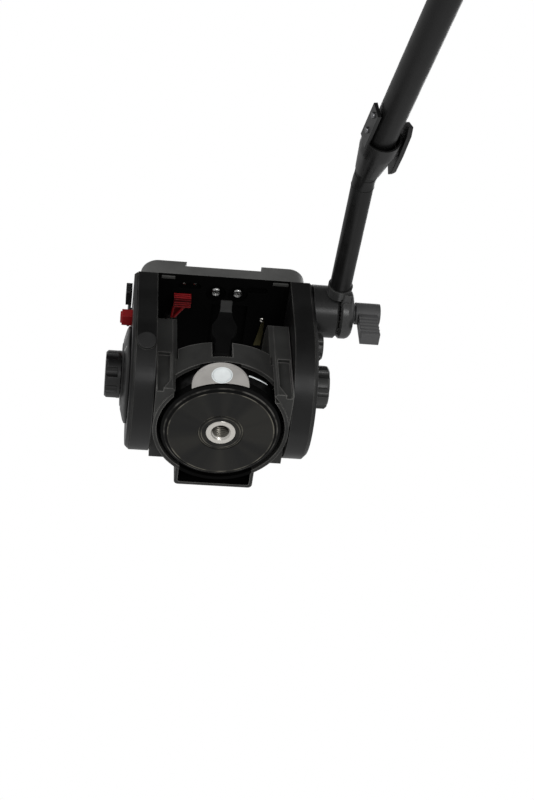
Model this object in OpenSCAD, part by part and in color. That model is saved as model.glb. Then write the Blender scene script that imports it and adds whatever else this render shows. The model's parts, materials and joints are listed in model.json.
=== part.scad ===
// Fluid video head for a tripod with a flat base.
// Lengths are in millimetres. The origin is the mouth of the tripod thread,
// +Z is up, +Y is forwards and +X is the operator's right.

/* [Base] */
// Diameter of the flat base disc
base_d = 60; // [56:1:62]
// Height of the base disc at its rim
base_h = 7; // [6:0.5:8]
// Radius of the tripod thread at its crests, for 3/8 inch
thread_r = 3.97; // [3.9:0.01:4.1]
// Depth of the tripod thread
thread_depth = 10; // [9:0.5:11]
// Outer diameter of the steel thread insert
insert_d = 15.2; // [13:0.2:16]

/* [Pan housing] */
// Gap all round between the base disc and the housing
disc_gap = 2; // [1.5:0.1:2.5]
// Wall of the housing
housing_wall = 2; // [1.8:0.1:2.6]
// Height of the housing's lower rim
housing_z0 = 2; // [1.5:0.1:2.5]
// Height of the housing's roof
housing_top = 27; // [27:0.5:28]
// Thickness of the housing's roof
roof_t = 3; // [2.5:0.1:3]
// Width of the front box
box_w = 40.4; // [36:0.2:42]
// Reach of the front box from the pan axis
box_y = 41; // [40:0.5:42]
// Wall of the front box
box_wall = 1.8; // [1.4:0.1:2.4]

/* [Bubble level] */
// Radius of the tongue's round end
tongue_r = 14; // [12.5:0.5:15]
// Reach of the tongue past the base disc
tongue_out = 13.5; // [12.5:0.5:15]
// Thickness of the tongue
tongue_t = 2; // [1.8:0.1:2.2]
// Diameter of the level's vial
vial_d = 10.4; // [8:0.2:11]

/* [Yoke] */
// Height of the tilt axis
tilt_z = 40; // [40:0.5:42]
// Radius of the cheeks about the tilt axis
cheek_r = 30; // [28:0.5:30.5]
// Thickness of a cheek
cheek_t = 10.5; // [10:0.1:11]
// Radius of the tilt axles
axle_r = 4; // [3.8:0.1:4.2]

/* [Tilting frame] */
// Radius of the arms about the tilt axis
arm_r = 38; // [37:0.5:38.5]
// Thickness of an arm
arm_t = 10.2; // [9.5:0.1:10.5]
// Thickness of an arm's outer cover
cover_t = 1.9; // [1.6:0.1:2.4]
// Gap between a cheek and its arm
side_gap = 0.4; // [0.3:0.1:0.6]
// Height of the platform's underside above the tilt axis
bridge_h = 38; // [38:0.5:39]
// Thickness of the platform at its rails
platform_t = 11; // [10.8:0.1:12]
// Reach of the platform behind the tilt axis
platform_rear = 38; // [37:0.5:38]
// Reach of the platform in front of the tilt axis
platform_front = 38; // [36:0.5:40]
// Width of the plate channel
channel_w = 41; // [39:0.2:42]
// Depth of the plate channel
channel_depth = 3.7; // [3.3:0.1:4.2]

/* [Camera plate] */
// Length of the camera plate
plate_l = 62; // [56:1:64]
// Thickness of the camera plate without its pad
plate_t = 6.4; // [6:0.1:7]
// Radius of the camera screw, for 1/4 inch
screw_r = 3.175; // [3.1:0.005:3.25]

/* [Controls] */
// Radius of the tilt drag knob
drag_knob_r = 12.2; // [11:0.1:13]
// Radius of the counterbalance knob
balance_knob_r = 11.3; // [10:0.1:12]
// Radius of the tilt lock knob
lock_knob_r = 7.2; // [6.5:0.1:7.6]
// Width of the safety button across its flats
button_w = 6; // [5:0.1:7]

/* [Pan bar] */
// Radius of the rosette
rosette_r = 13.7; // [12.5:0.1:14.5]
// Radius of the bent rod
rod_r = 5.6; // [5.2:0.1:6]
// Distance from the rosette to the rod's bend
bar_reach = 92.5; // [85:0.5:100]
// Angle of the rod's first length below level
bar_drop = 7.1; // [0:0.1:10]
// Angle of the bend
bar_bend = 17.2; // [12:0.1:24]
// Angle by which the bent rod is rolled outwards in its socket
bar_roll = 12.5; // [0:0.5:20]
// Wall of the telescopic tube
tube_wall = 1.2; // [1:0.05:1.5]
// Length of the telescopic tube
tube_l = 272; // [240:1:300]
// Length of the rubber grip
grip_l = 112; // [100:1:120]

/* [Hidden] */
$fn = 96;

// Clearances
run = 0.08;
slip = 0.3;
over = 1;

// Base
base_r = base_d / 2;
insert_r = insert_d / 2;
rim_bevel = 2;
face_r = base_r - 3.3;
hub_ring_r = insert_r + 3;
groove_w = 0.8;
groove_d = 0.4;
seat_r = 16;
foot_r = 13;
foot_t = 2.5;
foot_z = thread_depth + foot_t;
foot_screw_r = 1.5;
foot_screw_head_r = 2.4;
foot_screw_head = 1.5;
foot_screw_l = 6;
foot_screw_ring = (insert_r + foot_r) / 2;
spindle_r = 6;
stud_r = 4;
washer_r = 9;
washer_t = 1.2;
nut_r = 5.8;
nut_t = 3.6;
shoulder_z = housing_top + 0.2;
nut_z = shoulder_z + washer_t;
stud_top = nut_z + nut_t + 0.6;

// Pan housing
housing_in = base_r + disc_gap;
housing_r = housing_in + housing_wall;
roof_z = housing_top - roof_t;
top_bevel = 1.5;
bush_r = 8;
hub_r = 10.5;
hub_z = foot_z + foot_screw_head + 0.6;
box_z0 = 4.4;
box_z1 = 24;
window_z = 14.5;
arch_z = 29.5;
arch_rise = 3.5;
window_left = 25;
window_right = 29;
window_in = 20;

// Pan drag
drag_disc_t = 1.2;
drag_gap = 0.6;
stator_r = base_r - 1;
stator_in = stator_r - 3;
stator_floor = 2.4;
rotor_r = stator_in - drag_gap;
rotor_hub_r = hub_r + 3;
rotor_low = hub_z;
stator_disc_z = rotor_low + drag_disc_t + drag_gap;
rotor_high = stator_disc_z + drag_disc_t + drag_gap;

// Bubble level
tongue_x = -3;
tongue_y = base_r + tongue_out;
tongue_z = 0.5;
tongue_top = tongue_z + tongue_t;
vial_y = tongue_y - vial_d / 2 - 1.3;
vial_z0 = tongue_z - 0.3;
vial_top = tongue_top + 0.1;
riser_w = 20;
tab_t = 1.4;
tab_top = window_z + 3.5;

// Yoke
yoke_x = housing_r;
cheek_x = yoke_x - cheek_t;
cheek_rear = 25;
cheek_front = 28;
cheek_z0 = housing_z0 + 0.5;
cheek_bevel = 2.3;
cover_seat_r = tilt_z - housing_top - 0.6;
cover_plate_t = 1.5;
cavity_r = cover_seat_r - 1.2;
web_t = 3;
cavity_x0 = cheek_x + cover_plate_t;
cavity_x1 = yoke_x - web_t;
bushing_r = axle_r + 1.6;
drag_hub_r = axle_r + 1.6;
drag_wall = 1.1;
drag_rotor_r = cavity_r - drag_wall - drag_gap;
drag_rotor_t = 1.8;
end_play = 0.4;
arbor_r = axle_r + 1.4;
pocket_d = 2.2;
pocket_in = 3.5;
pocket_out = 0.7;
pocket_top = tilt_z - 10;
pocket_low = cheek_z0 + 6.5;
pocket_slant = 12;
cheek_screw_x = cheek_x + 2.7;
cheek_screw_y = 9;
cheek_screw_r = 1.5;
cheek_screw_head_r = 2.5;
cheek_screw_head = 1.2;
cheek_screw_l = 5.5;

// Pan lock
lever_y = 28;
lever_z = 22.5;
lever_hub_r = 3.4;
lever_pin_r = 1.5;
lever_hub_w = 9;
lug_w = 2.6;
notch_w = lever_hub_w + 1;
notch_y = 21.5;
notch_z = lever_z - lever_hub_r - 2 * slip;
lever_x = -2;
lever_l = 44;
lever_top = lever_z + lever_l;
lever_lean = 4;
lever_sway = 3.4;

// Tilting frame
arm_x = yoke_x + side_gap;
arm_out = arm_x + arm_t;
side_x = arm_out + cover_t;
platform_z = tilt_z + bridge_h;
platform_top = platform_z + platform_t;
channel_z = platform_top - channel_depth;
platform_x = arm_out - 1.6;
platform_round = 9;
flange_r = 10;
flange_t = 3;
control_shaft_r = 4;
control_depth = 5;
control_end = arm_out - control_depth + 0.5;
cover_inset = 0.6;
cover_bevel = 1.4;
plug_r = 4.6;
plug_in = 4;
plug_out = 0.9;
plug_angle = 22.4;
cover_screw_places = [[31, 30], [-32, 6], [0, -32.5]];
cover_screw_r = 1.4;
cover_screw_head_r = 2.5;
cover_screw_head = 1.1;
cover_screw_l = 5;
arm_screw_x = arm_x + 4.5;
arm_screw_y = 22;
arm_screw_r = 2;
arm_screw_head_r = 3.5;
arm_screw_head = 3.2;
arm_screw_sink = 4;
arm_screw_l = 18;
arm_key_r = 1.7;
arm_key_floor = 1.2;
underside_screw_x = [-3.5, 7.9];
underside_screw_y = 27;
underside_screw_r = 2.9;
underside_recess_r = 5.2;
underside_recess = 2.2;
hollow_x = -5;
hollow_w = 19;
hollow_rear = 20;
hollow_front = 26;
hollow_d = 5.5;
pocket_x = 17.5;
pocket_y = 30.5;
pocket_half = 4;
pocket_end_r = 1.9;
pocket_h = 2.4;
underside_stem_r = underside_screw_r - 1.2;
underside_stem_l = underside_recess + 4;
underside_head = 2;
leaf = [3.6, 19, 0.8];
leaf_x = 20.5;
leaf_y = -4;
leaf_turn = -11.5;

// Camera plate
dovetail = 1;
plate_y0 = -29;
plate_z0 = channel_z + 0.2;
plate_top = plate_z0 + plate_t;
pad_h = 1.2;
screw_head_r = 7.5;
screw_head = 2.4;
screw_stand = 6;
coin_slot = 2;
coin_depth = 1;
screw_neck_r = screw_r - 0.5;
screw_y = plate_y0 + plate_l / 2;
jaw_l = 30;
jaw_w = 5;
jaw_gap = 1.1;
jaw_bite = 0.35;
jaw_play = 0.1;
plate_play = 0.45;

// Controls
dial_t = 3.4;
dial_step_r = 16.5;
dial_step = 0.5;
drag_knob_h = 7.8;
drag_knob_x = side_x + dial_t + dial_step + 0.3;
balance_knob_x = side_x + 0.4;
balance_knob_h = 9.4;
lock_y = -17.6;
lock_z = tilt_z + 11;
lock_knob_x = side_x + 0.4;
lock_knob_h = 5;
lock_stud_r = 3;
plate_lock_y = -4;
plate_lock_z = platform_z + 6.2;
plate_lock_x = side_x + 0.4;
plate_lock_t = 1.4;
plate_lock_r = 6;
lock_shaft_l = 8;
thumb_y = -21;
thumb_z = platform_z + 2.2;
thumb_w = 8;
thumb_t = 3.1;
button_y = -20;
button_z = tilt_z + 22;
button_out = side_x + 6;
button_depth = 6;
button_travel = 3;
button_rest = 0.6;
button_bevel = 0.8;
button_bottom = arm_out - (button_depth - cover_t);
dial_r = norm([-button_y - button_w / 2, button_z - tilt_z - button_w / 2]) - 2 * slip;
catch_x = -26.5;
catch_y = -9;
catch_r = 4.2;
catch_pin_r = 1.6;
catch_pin_in = 5;
catch_z = platform_z - slip;
catch_arm_t = 3.2;
catch_pad = [9, 5, 6.2];
catch_pad_x = -20.9;
catch_pad_y = -24;

// Pan bar
rosette_y = -24;
rosette_z = platform_z - 5;
boss_l = 13.5;
boss_face = side_x + boss_l;
tooth_n = 36;
tooth_d = 0.7;
tooth_in = 6;
joint_bevel = 1.2;
head_x = boss_face + 0.6;
head_t = 7.4;
head_round = 3.6;
neck_r = rod_r + 0.8;
neck_l = 20;
rod_in = rosette_r + 0.9;
rod_x = boss_face - 0.7;
bolt_r = 4;
bolt_depth = 9;
bar_knob_x = head_x + head_t + 1.8;
bar_knob_r = 5.8;
bar_knob_h = 13;
wing_reach = 21;
bend_r = 30;
bend_l = bend_r * tan(bar_bend / 2);
bend_swell = 0.03;
bend_lap = 0.5;
tube_in = rod_r + run;
tube_r = tube_in + tube_wall;
collar_s = bend_l + 4;
collar_l = 28;
cup_depth = 9;
tube_s = collar_s + collar_l - cup_depth - 6;
rod_lap = 190;
rod_s = tube_s + rod_lap;
collar_r0 = rod_r + 0.9;
collar_r1 = tube_r + 2.3;
cup_wall = 1;
ear_l = 22;
ear_w = 8;
ear_t = 1.8;
grip_r = 11;
grip_s = tube_s + tube_l - grip_l;
cap_t = 4;
wing_s = collar_s + 17;
wing_x = collar_r1 + 0.4;
wing_t = 2.4;
wing_l = 20;
wing_r = 5;
wing_pin_r = 2.2;
clamp_boss_r = 4.2;
collar_screw_r = 1.5;
collar_screw_in = 1.2;
collar_screw_head = 0.9;
collar_screw_s = [6, 18];

// Round bar along X
module bar_x(r, x0, x1, y = 0, z = 0) {
    translate([x0, y, z]) rotate([0, 90, 0]) cylinder(r = r, h = x1 - x0);
}

// Outline in Y and Z, given thickness along X
module slab_x(x0, x1) {
    translate([x0, 0, 0]) rotate([90, 0, 90]) linear_extrude(x1 - x0) children();
}

// Half outline of radius and X, turned about the tilt axis
module turned_x() {
    translate([0, 0, tilt_z]) rotate([0, 90, 0]) rotate_extrude() children();
}

module left() {
    mirror([1, 0, 0]) children();
}

module ring(r_in, r_out, z0, z1) {
    difference() {
        translate([0, 0, z0]) cylinder(r = r_out, h = z1 - z0);
        translate([0, 0, z0 - over]) cylinder(r = r_in, h = z1 - z0 + 2 * over);
    }
}

module foot_screw_places() {
    for (i = [0 : 2]) rotate(120 * i + 30) translate([foot_screw_ring, 0, 0]) children();
}

module cheek_screw_places() {
    for (x = [-cheek_screw_x, cheek_screw_x])
        for (y = [-cheek_screw_y, cheek_screw_y]) translate([x, y, 0]) children();
}

module arm_screw_places() {
    for (x = [-arm_screw_x, arm_screw_x])
        for (y = [-arm_screw_y, arm_screw_y]) translate([x, y, 0]) children();
}

module underside_screw_places() {
    for (x = underside_screw_x) translate([x, -underside_screw_y, platform_z]) children();
}

// Base, fixed to the tripod
module base_disc() {
    color("#2c2c2e") difference() {
        rotate_extrude() polygon([
            [insert_r, 0], [hub_ring_r, 0], [hub_ring_r, groove_d], [hub_ring_r + groove_w, groove_d],
            [hub_ring_r + groove_w, 0], [face_r, 0], [base_r, rim_bevel], [base_r, base_h],
            [seat_r, base_h], [seat_r, thread_depth], [insert_r, thread_depth]
        ]);
        foot_screw_places() translate([0, 0, foot_z - foot_screw_l - foot_t])
            cylinder(r = foot_screw_r, h = foot_screw_l + foot_t);
    }
}

module thread_insert() {
    color("#c4beb4") rotate_extrude() polygon([
        [thread_r, 0], [insert_r, 0], [insert_r, thread_depth], [thread_r, thread_depth]
    ]);
}

module pan_spindle() {
    color("#9a9a98") difference() {
        rotate_extrude() polygon([
            [0, thread_depth], [foot_r, thread_depth], [foot_r, foot_z], [spindle_r, foot_z],
            [spindle_r, shoulder_z], [stud_r, shoulder_z], [stud_r, stud_top], [0, stud_top]
        ]);
        foot_screw_places() translate([0, 0, thread_depth - over])
            cylinder(r = foot_screw_r, h = foot_t + 2 * over);
    }
}

module spindle_screws() {
    color("#8a8a88") foot_screw_places() {
        translate([0, 0, foot_z - foot_screw_l - foot_t])
            cylinder(r = foot_screw_r, h = foot_screw_l + foot_t);
        translate([0, 0, foot_z]) cylinder(r = foot_screw_head_r, h = foot_screw_head);
    }
}

module spindle_nut() {
    color("#8a8a88") difference() {
        union() {
            translate([0, 0, shoulder_z]) cylinder(r = washer_r, h = washer_t);
            translate([0, 0, nut_z]) cylinder(r = nut_r, h = nut_t, $fn = 6);
        }
        translate([0, 0, shoulder_z - over]) cylinder(r = stud_r, h = washer_t + nut_t + 2 * over);
    }
}

module pan_drag_stator() {
    hole_r = rotor_hub_r + 2 * drag_gap;
    color("#b9b9ba") rotate_extrude() polygon([
        [seat_r + run, base_h], [stator_r, base_h], [stator_r, stator_disc_z + drag_disc_t],
        [hole_r, stator_disc_z + drag_disc_t], [hole_r, stator_disc_z],
        [stator_in, stator_disc_z], [stator_in, base_h + stator_floor], [seat_r + run, base_h + stator_floor]
    ]);
}

// Pan body
module pan_housing() {
    color("#1f1f21") difference() {
        union() {
            rotate_extrude() polygon([
                [housing_in, housing_z0], [housing_r, housing_z0], [housing_r, housing_top - top_bevel],
                [housing_r - top_bevel, housing_top], [bush_r, housing_top], [bush_r, hub_z],
                [hub_r, hub_z], [hub_r, roof_z], [housing_in, roof_z]
            ]);
            front_box();
            rear_arch();
            lever_lugs();
        }
        translate([-window_left, -housing_r - over, housing_z0 - over])
            cube([window_left + window_right, housing_r - window_in + over, window_z - housing_z0 + over]);
        translate([lever_x - notch_w / 2, -housing_r - over, notch_z])
            cube([notch_w, housing_r - notch_y + over, housing_top]);
        translate([lever_x, 0, 0]) lever_pin_bar();
        cheek_screw_places() translate([0, 0, roof_z - over])
            cylinder(r = cheek_screw_r, h = roof_t + 2 * over);
    }
}

// Thin box at the front of the housing, open at the bottom
module front_box() {
    difference() {
        translate([-box_w / 2, 0, box_z0]) cube([box_w, box_y, box_z1 - box_z0]);
        translate([-box_w / 2 + box_wall, 0, box_z0 - over])
            cube([box_w - 2 * box_wall, box_y - box_wall, box_z1 - box_z0 - box_wall + over]);
        translate([0, 0, box_z0 - over])
            cylinder(r = (housing_in + housing_r) / 2, h = box_z1 - box_z0 + 2 * over);
    }
}

// Rear wall above the window, which rises past the roof and towards both cheeks
module rear_arch() {
    half = cheek_x - slip;
    dish_r = (half * half + arch_rise * arch_rise) / (2 * arch_rise);
    difference() {
        intersection() {
            ring(housing_in, housing_r, roof_z, arch_z + arch_rise);
            translate([-half, -housing_r - over, roof_z]) cube([2 * half, housing_r, arch_z]);
        }
        translate([0, over, arch_z + dish_r]) rotate([90, 0, 0])
            cylinder(r = dish_r, h = housing_r + 2 * over);
    }
}

// Two lugs under the roof that hold the pin of the pan lock lever
module lever_lugs() {
    half = 2.6;
    drop = 3;
    for (s = [-1, 1])
        translate([lever_x + s * (notch_w + lug_w) / 2 - lug_w / 2, -lever_y - half, lever_z - drop])
            cube([lug_w, 2 * half, housing_top - lever_z]);
}

// Cheek on the +X side, without its fittings
module cheek_body() {
    difference() {
        slab_x(cheek_x, yoke_x) intersection() {
            union() {
                translate([0, tilt_z]) circle(cheek_r);
                translate([-cheek_rear, cheek_z0]) square([cheek_rear, tilt_z - cheek_z0]);
                translate([-over, tilt_z - cheek_r]) square([cheek_front + over, cheek_r]);
            }
            translate([-cheek_rear, cheek_z0]) square([cheek_rear + cheek_front, tilt_z + cheek_r]);
        }
        translate([0, 0, -over]) cylinder(r = housing_r, h = housing_top + over);
        bar_x(cover_seat_r, cheek_x - over, cavity_x0, 0, tilt_z);
        bar_x(cavity_r, cavity_x0 - over, cavity_x1, 0, tilt_z);
        bar_x(bushing_r, cavity_x1 - over, yoke_x + over, 0, tilt_z);
        cheek_pocket();
        translate([0, 0, cheek_z0 - over]) linear_extrude(2 * tilt_z) polygon([
            [cheek_x - over, -cheek_rear - over], [cheek_x + cheek_bevel + over, -cheek_rear - over],
            [cheek_x - over, -cheek_rear + cheek_bevel + over]
        ]);
        cheek_screw_places() translate([0, 0, housing_top - over])
            cylinder(r = cheek_screw_r, h = cheek_screw_l - roof_t + over);
    }
}

// Shallow panel in the rear face of a cheek, with a slanted lower end that runs out at the bottom
module cheek_pocket() {
    translate([0, -cheek_rear + pocket_d, 0]) rotate([90, 0, 0]) linear_extrude(pocket_d + over) polygon([
        [cheek_x + pocket_in, pocket_low], [yoke_x - pocket_out, pocket_low - pocket_slant],
        [yoke_x - pocket_out, pocket_top], [cheek_x + pocket_in, pocket_top]
    ]);
}

module left_cheek() {
    color("#242426") left() cheek_body();
}

module right_cheek() {
    color("#242426") cheek_body();
}

module cheek_screws() {
    color("#8a8a88") cheek_screw_places() {
        translate([0, 0, roof_z]) cylinder(r = cheek_screw_r, h = cheek_screw_l);
        translate([0, 0, roof_z - cheek_screw_head]) cylinder(r = cheek_screw_head_r, h = cheek_screw_head);
    }
}

module pan_bushing() {
    color("#b08a4a") ring(spindle_r + run, bush_r, hub_z, housing_top);
}

module pan_drag_rotor() {
    color("#a8a8aa") rotate_extrude() polygon([
        [hub_r, rotor_low], [rotor_r, rotor_low], [rotor_r, rotor_low + drag_disc_t],
        [rotor_hub_r, rotor_low + drag_disc_t], [rotor_hub_r, rotor_high], [rotor_r, rotor_high],
        [rotor_r, rotor_high + drag_disc_t], [hub_r, rotor_high + drag_disc_t]
    ]);
}

module level_bracket() {
    color("#a8a09b") difference() {
        union() {
            difference() {
                translate([tongue_x, tongue_r - tongue_y, tongue_z]) cylinder(r = tongue_r, h = tongue_t);
                translate([0, 0, tongue_z - over]) cylinder(r = housing_in, h = tongue_t + 2 * over);
            }
            intersection() {
                ring(housing_in, housing_r, tongue_top, window_z);
                translate([tongue_x - riser_w / 2, -housing_r - over, 0])
                    cube([riser_w, housing_r, window_z + over]);
            }
            intersection() {
                ring(housing_in - tab_t, housing_in, base_h + 1, tab_top);
                translate([tongue_x - riser_w / 2, -housing_r - over, 0])
                    cube([riser_w, housing_r, tab_top + over]);
            }
        }
        translate([tongue_x, -vial_y, tongue_z - over]) cylinder(r = vial_d / 2, h = tongue_t + 2 * over);
    }
}

module level_vial() {
    color("#dfe6ea") translate([tongue_x, -vial_y, vial_z0]) cylinder(r = vial_d / 2, h = vial_top - vial_z0);
}

module tilt_bushing() {
    difference() {
        bar_x(bushing_r, cavity_x1, yoke_x, 0, tilt_z);
        bar_x(axle_r + run, cavity_x1 - over, yoke_x + over, 0, tilt_z);
    }
}

module tilt_bushings() {
    color("#b08a4a") {
        tilt_bushing();
        left() tilt_bushing();
    }
}

module tilt_drag_stator() {
    color("#a8a8aa") left() turned_x() polygon([
        [cavity_r - drag_wall, cavity_x0], [cavity_r, cavity_x0], [cavity_r, cavity_x1],
        [drag_hub_r + 2 * end_play, cavity_x1], [drag_hub_r + 2 * end_play, cavity_x1 - drag_disc_t],
        [cavity_r - drag_wall, cavity_x1 - drag_disc_t]
    ]);
}

// Flat spiral spring, fixed to the cheek at its outer end
module counterbalance_spring() {
    turns = 4;
    steps = 24;
    strip = 0.6;
    side = 0.8;
    r0 = arbor_r + strip;
    pitch = (cavity_r - strip - r0) / turns;
    inner = [for (i = [0 : turns * steps]) r0 + pitch * i / steps];
    angle = [for (i = [0 : turns * steps]) 360 * i / steps];
    last = turns * steps;
    color("#7d8288") translate([0, 0, tilt_z]) rotate([0, 90, 0])
        translate([0, 0, cavity_x0 + side]) linear_extrude(cavity_x1 - cavity_x0 - 2 * side) polygon(concat(
            [for (i = [0 : last]) inner[i] * [cos(angle[i]), sin(angle[i])]],
            [for (i = [last : -1 : 0]) (inner[i] + strip) * [cos(angle[i]), sin(angle[i])]]
        ));
}

module cheek_cover() {
    bar_x(cover_seat_r, cheek_x, cavity_x0, 0, tilt_z);
}

module drag_cover() {
    color("#2a2a2c") left() cheek_cover();
}

module spring_cover() {
    color("#2a2a2c") cheek_cover();
}

module lever_pin_bar() {
    bar_x(lever_pin_r, -notch_w / 2 - lug_w, notch_w / 2 + lug_w, -lever_y, lever_z);
}

module pan_lock_pin() {
    color("#8a8a88") translate([lever_x, 0, 0]) lever_pin_bar();
}

// Lever that leans back and a little sideways; seen from behind it flares below its middle
module pan_lock_lever() {
    tip_w = 3.1;
    waist_w = 2.9;
    waist_z = lever_top - 9;
    neck_w = 4;
    neck_z = lever_top - 15.5;
    flare_w = 6.6;
    flare_z = lever_top - 21.5;
    flare_h = 6;
    root_w = lever_hub_w / 2 - 0.5;
    root_z = flare_z - flare_h - 4;
    half = 2.4;
    rear = -lever_y - lever_lean;
    edge = [
        [root_w, lever_z], [root_w, root_z], [flare_w - 0.4, flare_z - flare_h], [flare_w, flare_z],
        [neck_w, neck_z], [waist_w, waist_z], [tip_w, lever_top]
    ];
    last = len(edge) - 1;
    color("#3a3a3c") translate([lever_x, 0, 0]) difference() {
        union() {
            bar_x(lever_hub_r, -lever_hub_w / 2, lever_hub_w / 2, -lever_y, lever_z);
            intersection() {
                slab_x(-2 * flare_w, 2 * flare_w) polygon([
                    [-lever_y - half, lever_z], [-lever_y + half, lever_z], [rear + half, lever_top - 1],
                    [rear + half - 1, lever_top], [rear, lever_top], [rear - half + 0.6, lever_top - 3]
                ]);
                rotate([90, 0, 0]) linear_extrude(2 * lever_y) polygon(concat(
                    [for (i = [0 : last]) swayed(1, edge[i])], [for (i = [last : -1 : 0]) swayed(-1, edge[i])]
                ));
            }
        }
        bar_x(lever_pin_r + run, -lever_hub_w, lever_hub_w, -lever_y, lever_z);
    }
}

// Point of the lever's outline on one side, moved over with its height
function swayed(side, p) = [side * p[0] + lever_sway * (p[1] - lever_z) / lever_l, p[1]];

// Tilting frame
// Plate along X with a round lower end about the tilt axis and a bevelled outer edge
module tombstone(r, x0, x1, bevel) {
    t = x1 - x0;
    translate([x0, 0, tilt_z]) rotate([0, 90, 0]) rotate([0, 0, -90]) rotate_extrude(angle = 180) polygon([
        [0, 0], [r, 0], [r, t - bevel], [r - bevel, t], [0, t]
    ]);
    translate([0, 0, tilt_z]) linear_extrude(bridge_h) polygon([
        [x0, -r], [x1 - bevel, -r], [x1, bevel - r], [x1, r - bevel], [x1 - bevel, r], [x0, r]
    ]);
}

module cover_screw_axes() {
    for (p = cover_screw_places) translate([0, p[0], tilt_z + p[1]]) children();
}

module arm_body() {
    difference() {
        tombstone(arm_r, arm_x, arm_out, 0);
        bar_x(flange_r, arm_x - over, arm_x + flange_t, 0, tilt_z);
        bar_x(control_shaft_r + run, arm_out - control_depth, arm_out + over, 0, tilt_z);
        cover_screw_axes() bar_x(cover_screw_r, arm_out - cover_screw_l, arm_out + over);
        arm_screw_places() translate([0, 0, platform_top - arm_screw_sink - arm_screw_l])
            cylinder(r = arm_screw_r, h = arm_screw_l);
    }
}

// Round plug in the rear edge of the left arm, towards the tilt axis
module plug_bar(out) {
    translate([-arm_x - arm_t / 2, 0, tilt_z]) rotate([90 + plug_angle, 0, 0])
        translate([0, 0, arm_r - plug_in]) cylinder(r = plug_r, h = plug_in + out);
}

module arm_plug() {
    color("#343436") plug_bar(plug_out);
}

module left_arm() {
    color("#2d2d2f") difference() {
        left() arm_body();
        button_well(button_bottom, arm_out + over, slip);
        plug_bar(over);
    }
}

module right_arm() {
    color("#2d2d2f") difference() {
        arm_body();
        bar_x(lock_stud_r + run, arm_out - control_depth, arm_out + over, lock_y, lock_z);
    }
}

module cover_body() {
    difference() {
        tombstone(arm_r - cover_inset, arm_out, side_x, cover_bevel);
        bar_x(control_shaft_r + run, arm_out - over, side_x + over, 0, tilt_z);
        cover_screw_axes() {
            bar_x(cover_screw_r, arm_out - over, side_x);
            bar_x(cover_screw_head_r, side_x - cover_screw_head, side_x + over);
        }
    }
}

// Square well of the safety button, on the -X side
module button_well(x0, x1, gap) {
    w = button_w + 2 * gap;
    translate([-x1, button_y - w / 2, button_z - w / 2]) cube([x1 - x0, w, w]);
}

module left_cover() {
    color("#262628") difference() {
        left() cover_body();
        button_well(arm_out - over, side_x + over, slip);
    }
}

module right_cover() {
    color("#262628") difference() {
        cover_body();
        bar_x(lock_stud_r + run, arm_out - over, side_x + over, lock_y, lock_z);
    }
}

module cover_screw_set() {
    cover_screw_axes() {
        bar_x(cover_screw_r, arm_out - cover_screw_l, side_x - cover_screw_head);
        bar_x(cover_screw_head_r, side_x - cover_screw_head, side_x - slip);
    }
}

module cover_screws() {
    color("#3c3c3e") {
        cover_screw_set();
        left() cover_screw_set();
    }
}

module platform() {
    color("#3a3a3c") difference() {
        platform_plan();
        translate([0, -platform_rear - over, 0]) plate_channel(platform_rear + platform_front + 2 * over);
        underside_screw_places() {
            translate([0, 0, -over]) cylinder(r = underside_recess_r, h = underside_recess + over);
            cylinder(r = underside_stem_r, h = underside_stem_l);
        }
        for (s = [-1, 1]) translate([s * pocket_x, -pocket_y, platform_z - over])
            slot(pocket_half, pocket_end_r, pocket_h + over);
        translate([hollow_x, -hollow_rear, platform_z - over])
            cube([hollow_w, hollow_rear + hollow_front, hollow_d + over]);
        arm_screw_places() {
            translate([0, 0, platform_z - over]) cylinder(r = arm_screw_r, h = platform_t);
            translate([0, 0, platform_top - arm_screw_sink])
                cylinder(r = arm_screw_head_r + slip, h = platform_t);
        }
        jaw_pocket();
        bar_x(control_shaft_r + run, -platform_x - over, -platform_x + lock_shaft_l + over,
              plate_lock_y, plate_lock_z);
        translate([catch_x, catch_y, platform_z - over]) cylinder(r = catch_pin_r, h = catch_pin_in + over);
    }
}

// Plan of the platform with rounded corners, at full thickness
module platform_plan() {
    r = platform_round;
    translate([0, 0, platform_z]) linear_extrude(platform_t) {
        translate([-platform_x + r, -platform_rear])
            square([2 * (platform_x - r), platform_rear + platform_front]);
        translate([-platform_x, -platform_rear + r])
            square([2 * platform_x, platform_rear + platform_front - 2 * r]);
        for (x = [-1, 1])
            for (y = [-platform_rear + r, platform_front - r]) translate([x * (platform_x - r), y]) circle(r);
    }
}

// Oblong hole: half the distance between its round ends, radius, depth
module slot(half, r, h) {
    for (s = [-1, 1]) translate([s * half, 0, 0]) cylinder(r = r, h = h);
    translate([-half, -r, 0]) cube([2 * half, 2 * r, h]);
}

// Dovetail channel for the camera plate, along Y from Y = 0
module plate_channel(l) {
    half = channel_w / 2;
    rotate([-90, 0, 0]) linear_extrude(l) polygon([
        [-half, -channel_z], [half, -channel_z], [half - dovetail, -platform_top],
        [half - dovetail, -platform_top - over], [dovetail - half, -platform_top - over],
        [dovetail - half, -platform_top]
    ]);
}

module jaw_pocket() {
    translate([-channel_w / 2 - jaw_w - jaw_gap, -jaw_l / 2 - slip, channel_z])
        cube([jaw_w + jaw_gap + dovetail + over, jaw_l + 2 * slip, channel_depth + over]);
}

module arm_screws() {
    color("#4a4a4c") arm_screw_places() {
        translate([0, 0, platform_top - arm_screw_sink - arm_screw_l])
            cylinder(r = arm_screw_r, h = arm_screw_l);
        difference() {
            translate([0, 0, platform_top - arm_screw_sink])
                cylinder(r = arm_screw_head_r, h = arm_screw_head);
            translate([0, 0, platform_top - arm_screw_sink + arm_key_floor])
                cylinder(r = arm_key_r, h = arm_screw_head, $fn = 6);
        }
    }
}

module underside_screws() {
    color("#d0d0d0") underside_screw_places() {
        cylinder(r = underside_stem_r, h = underside_stem_l);
        translate([0, 0, underside_recess - underside_head])
            cylinder(r = underside_screw_r, h = underside_head);
    }
}

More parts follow.
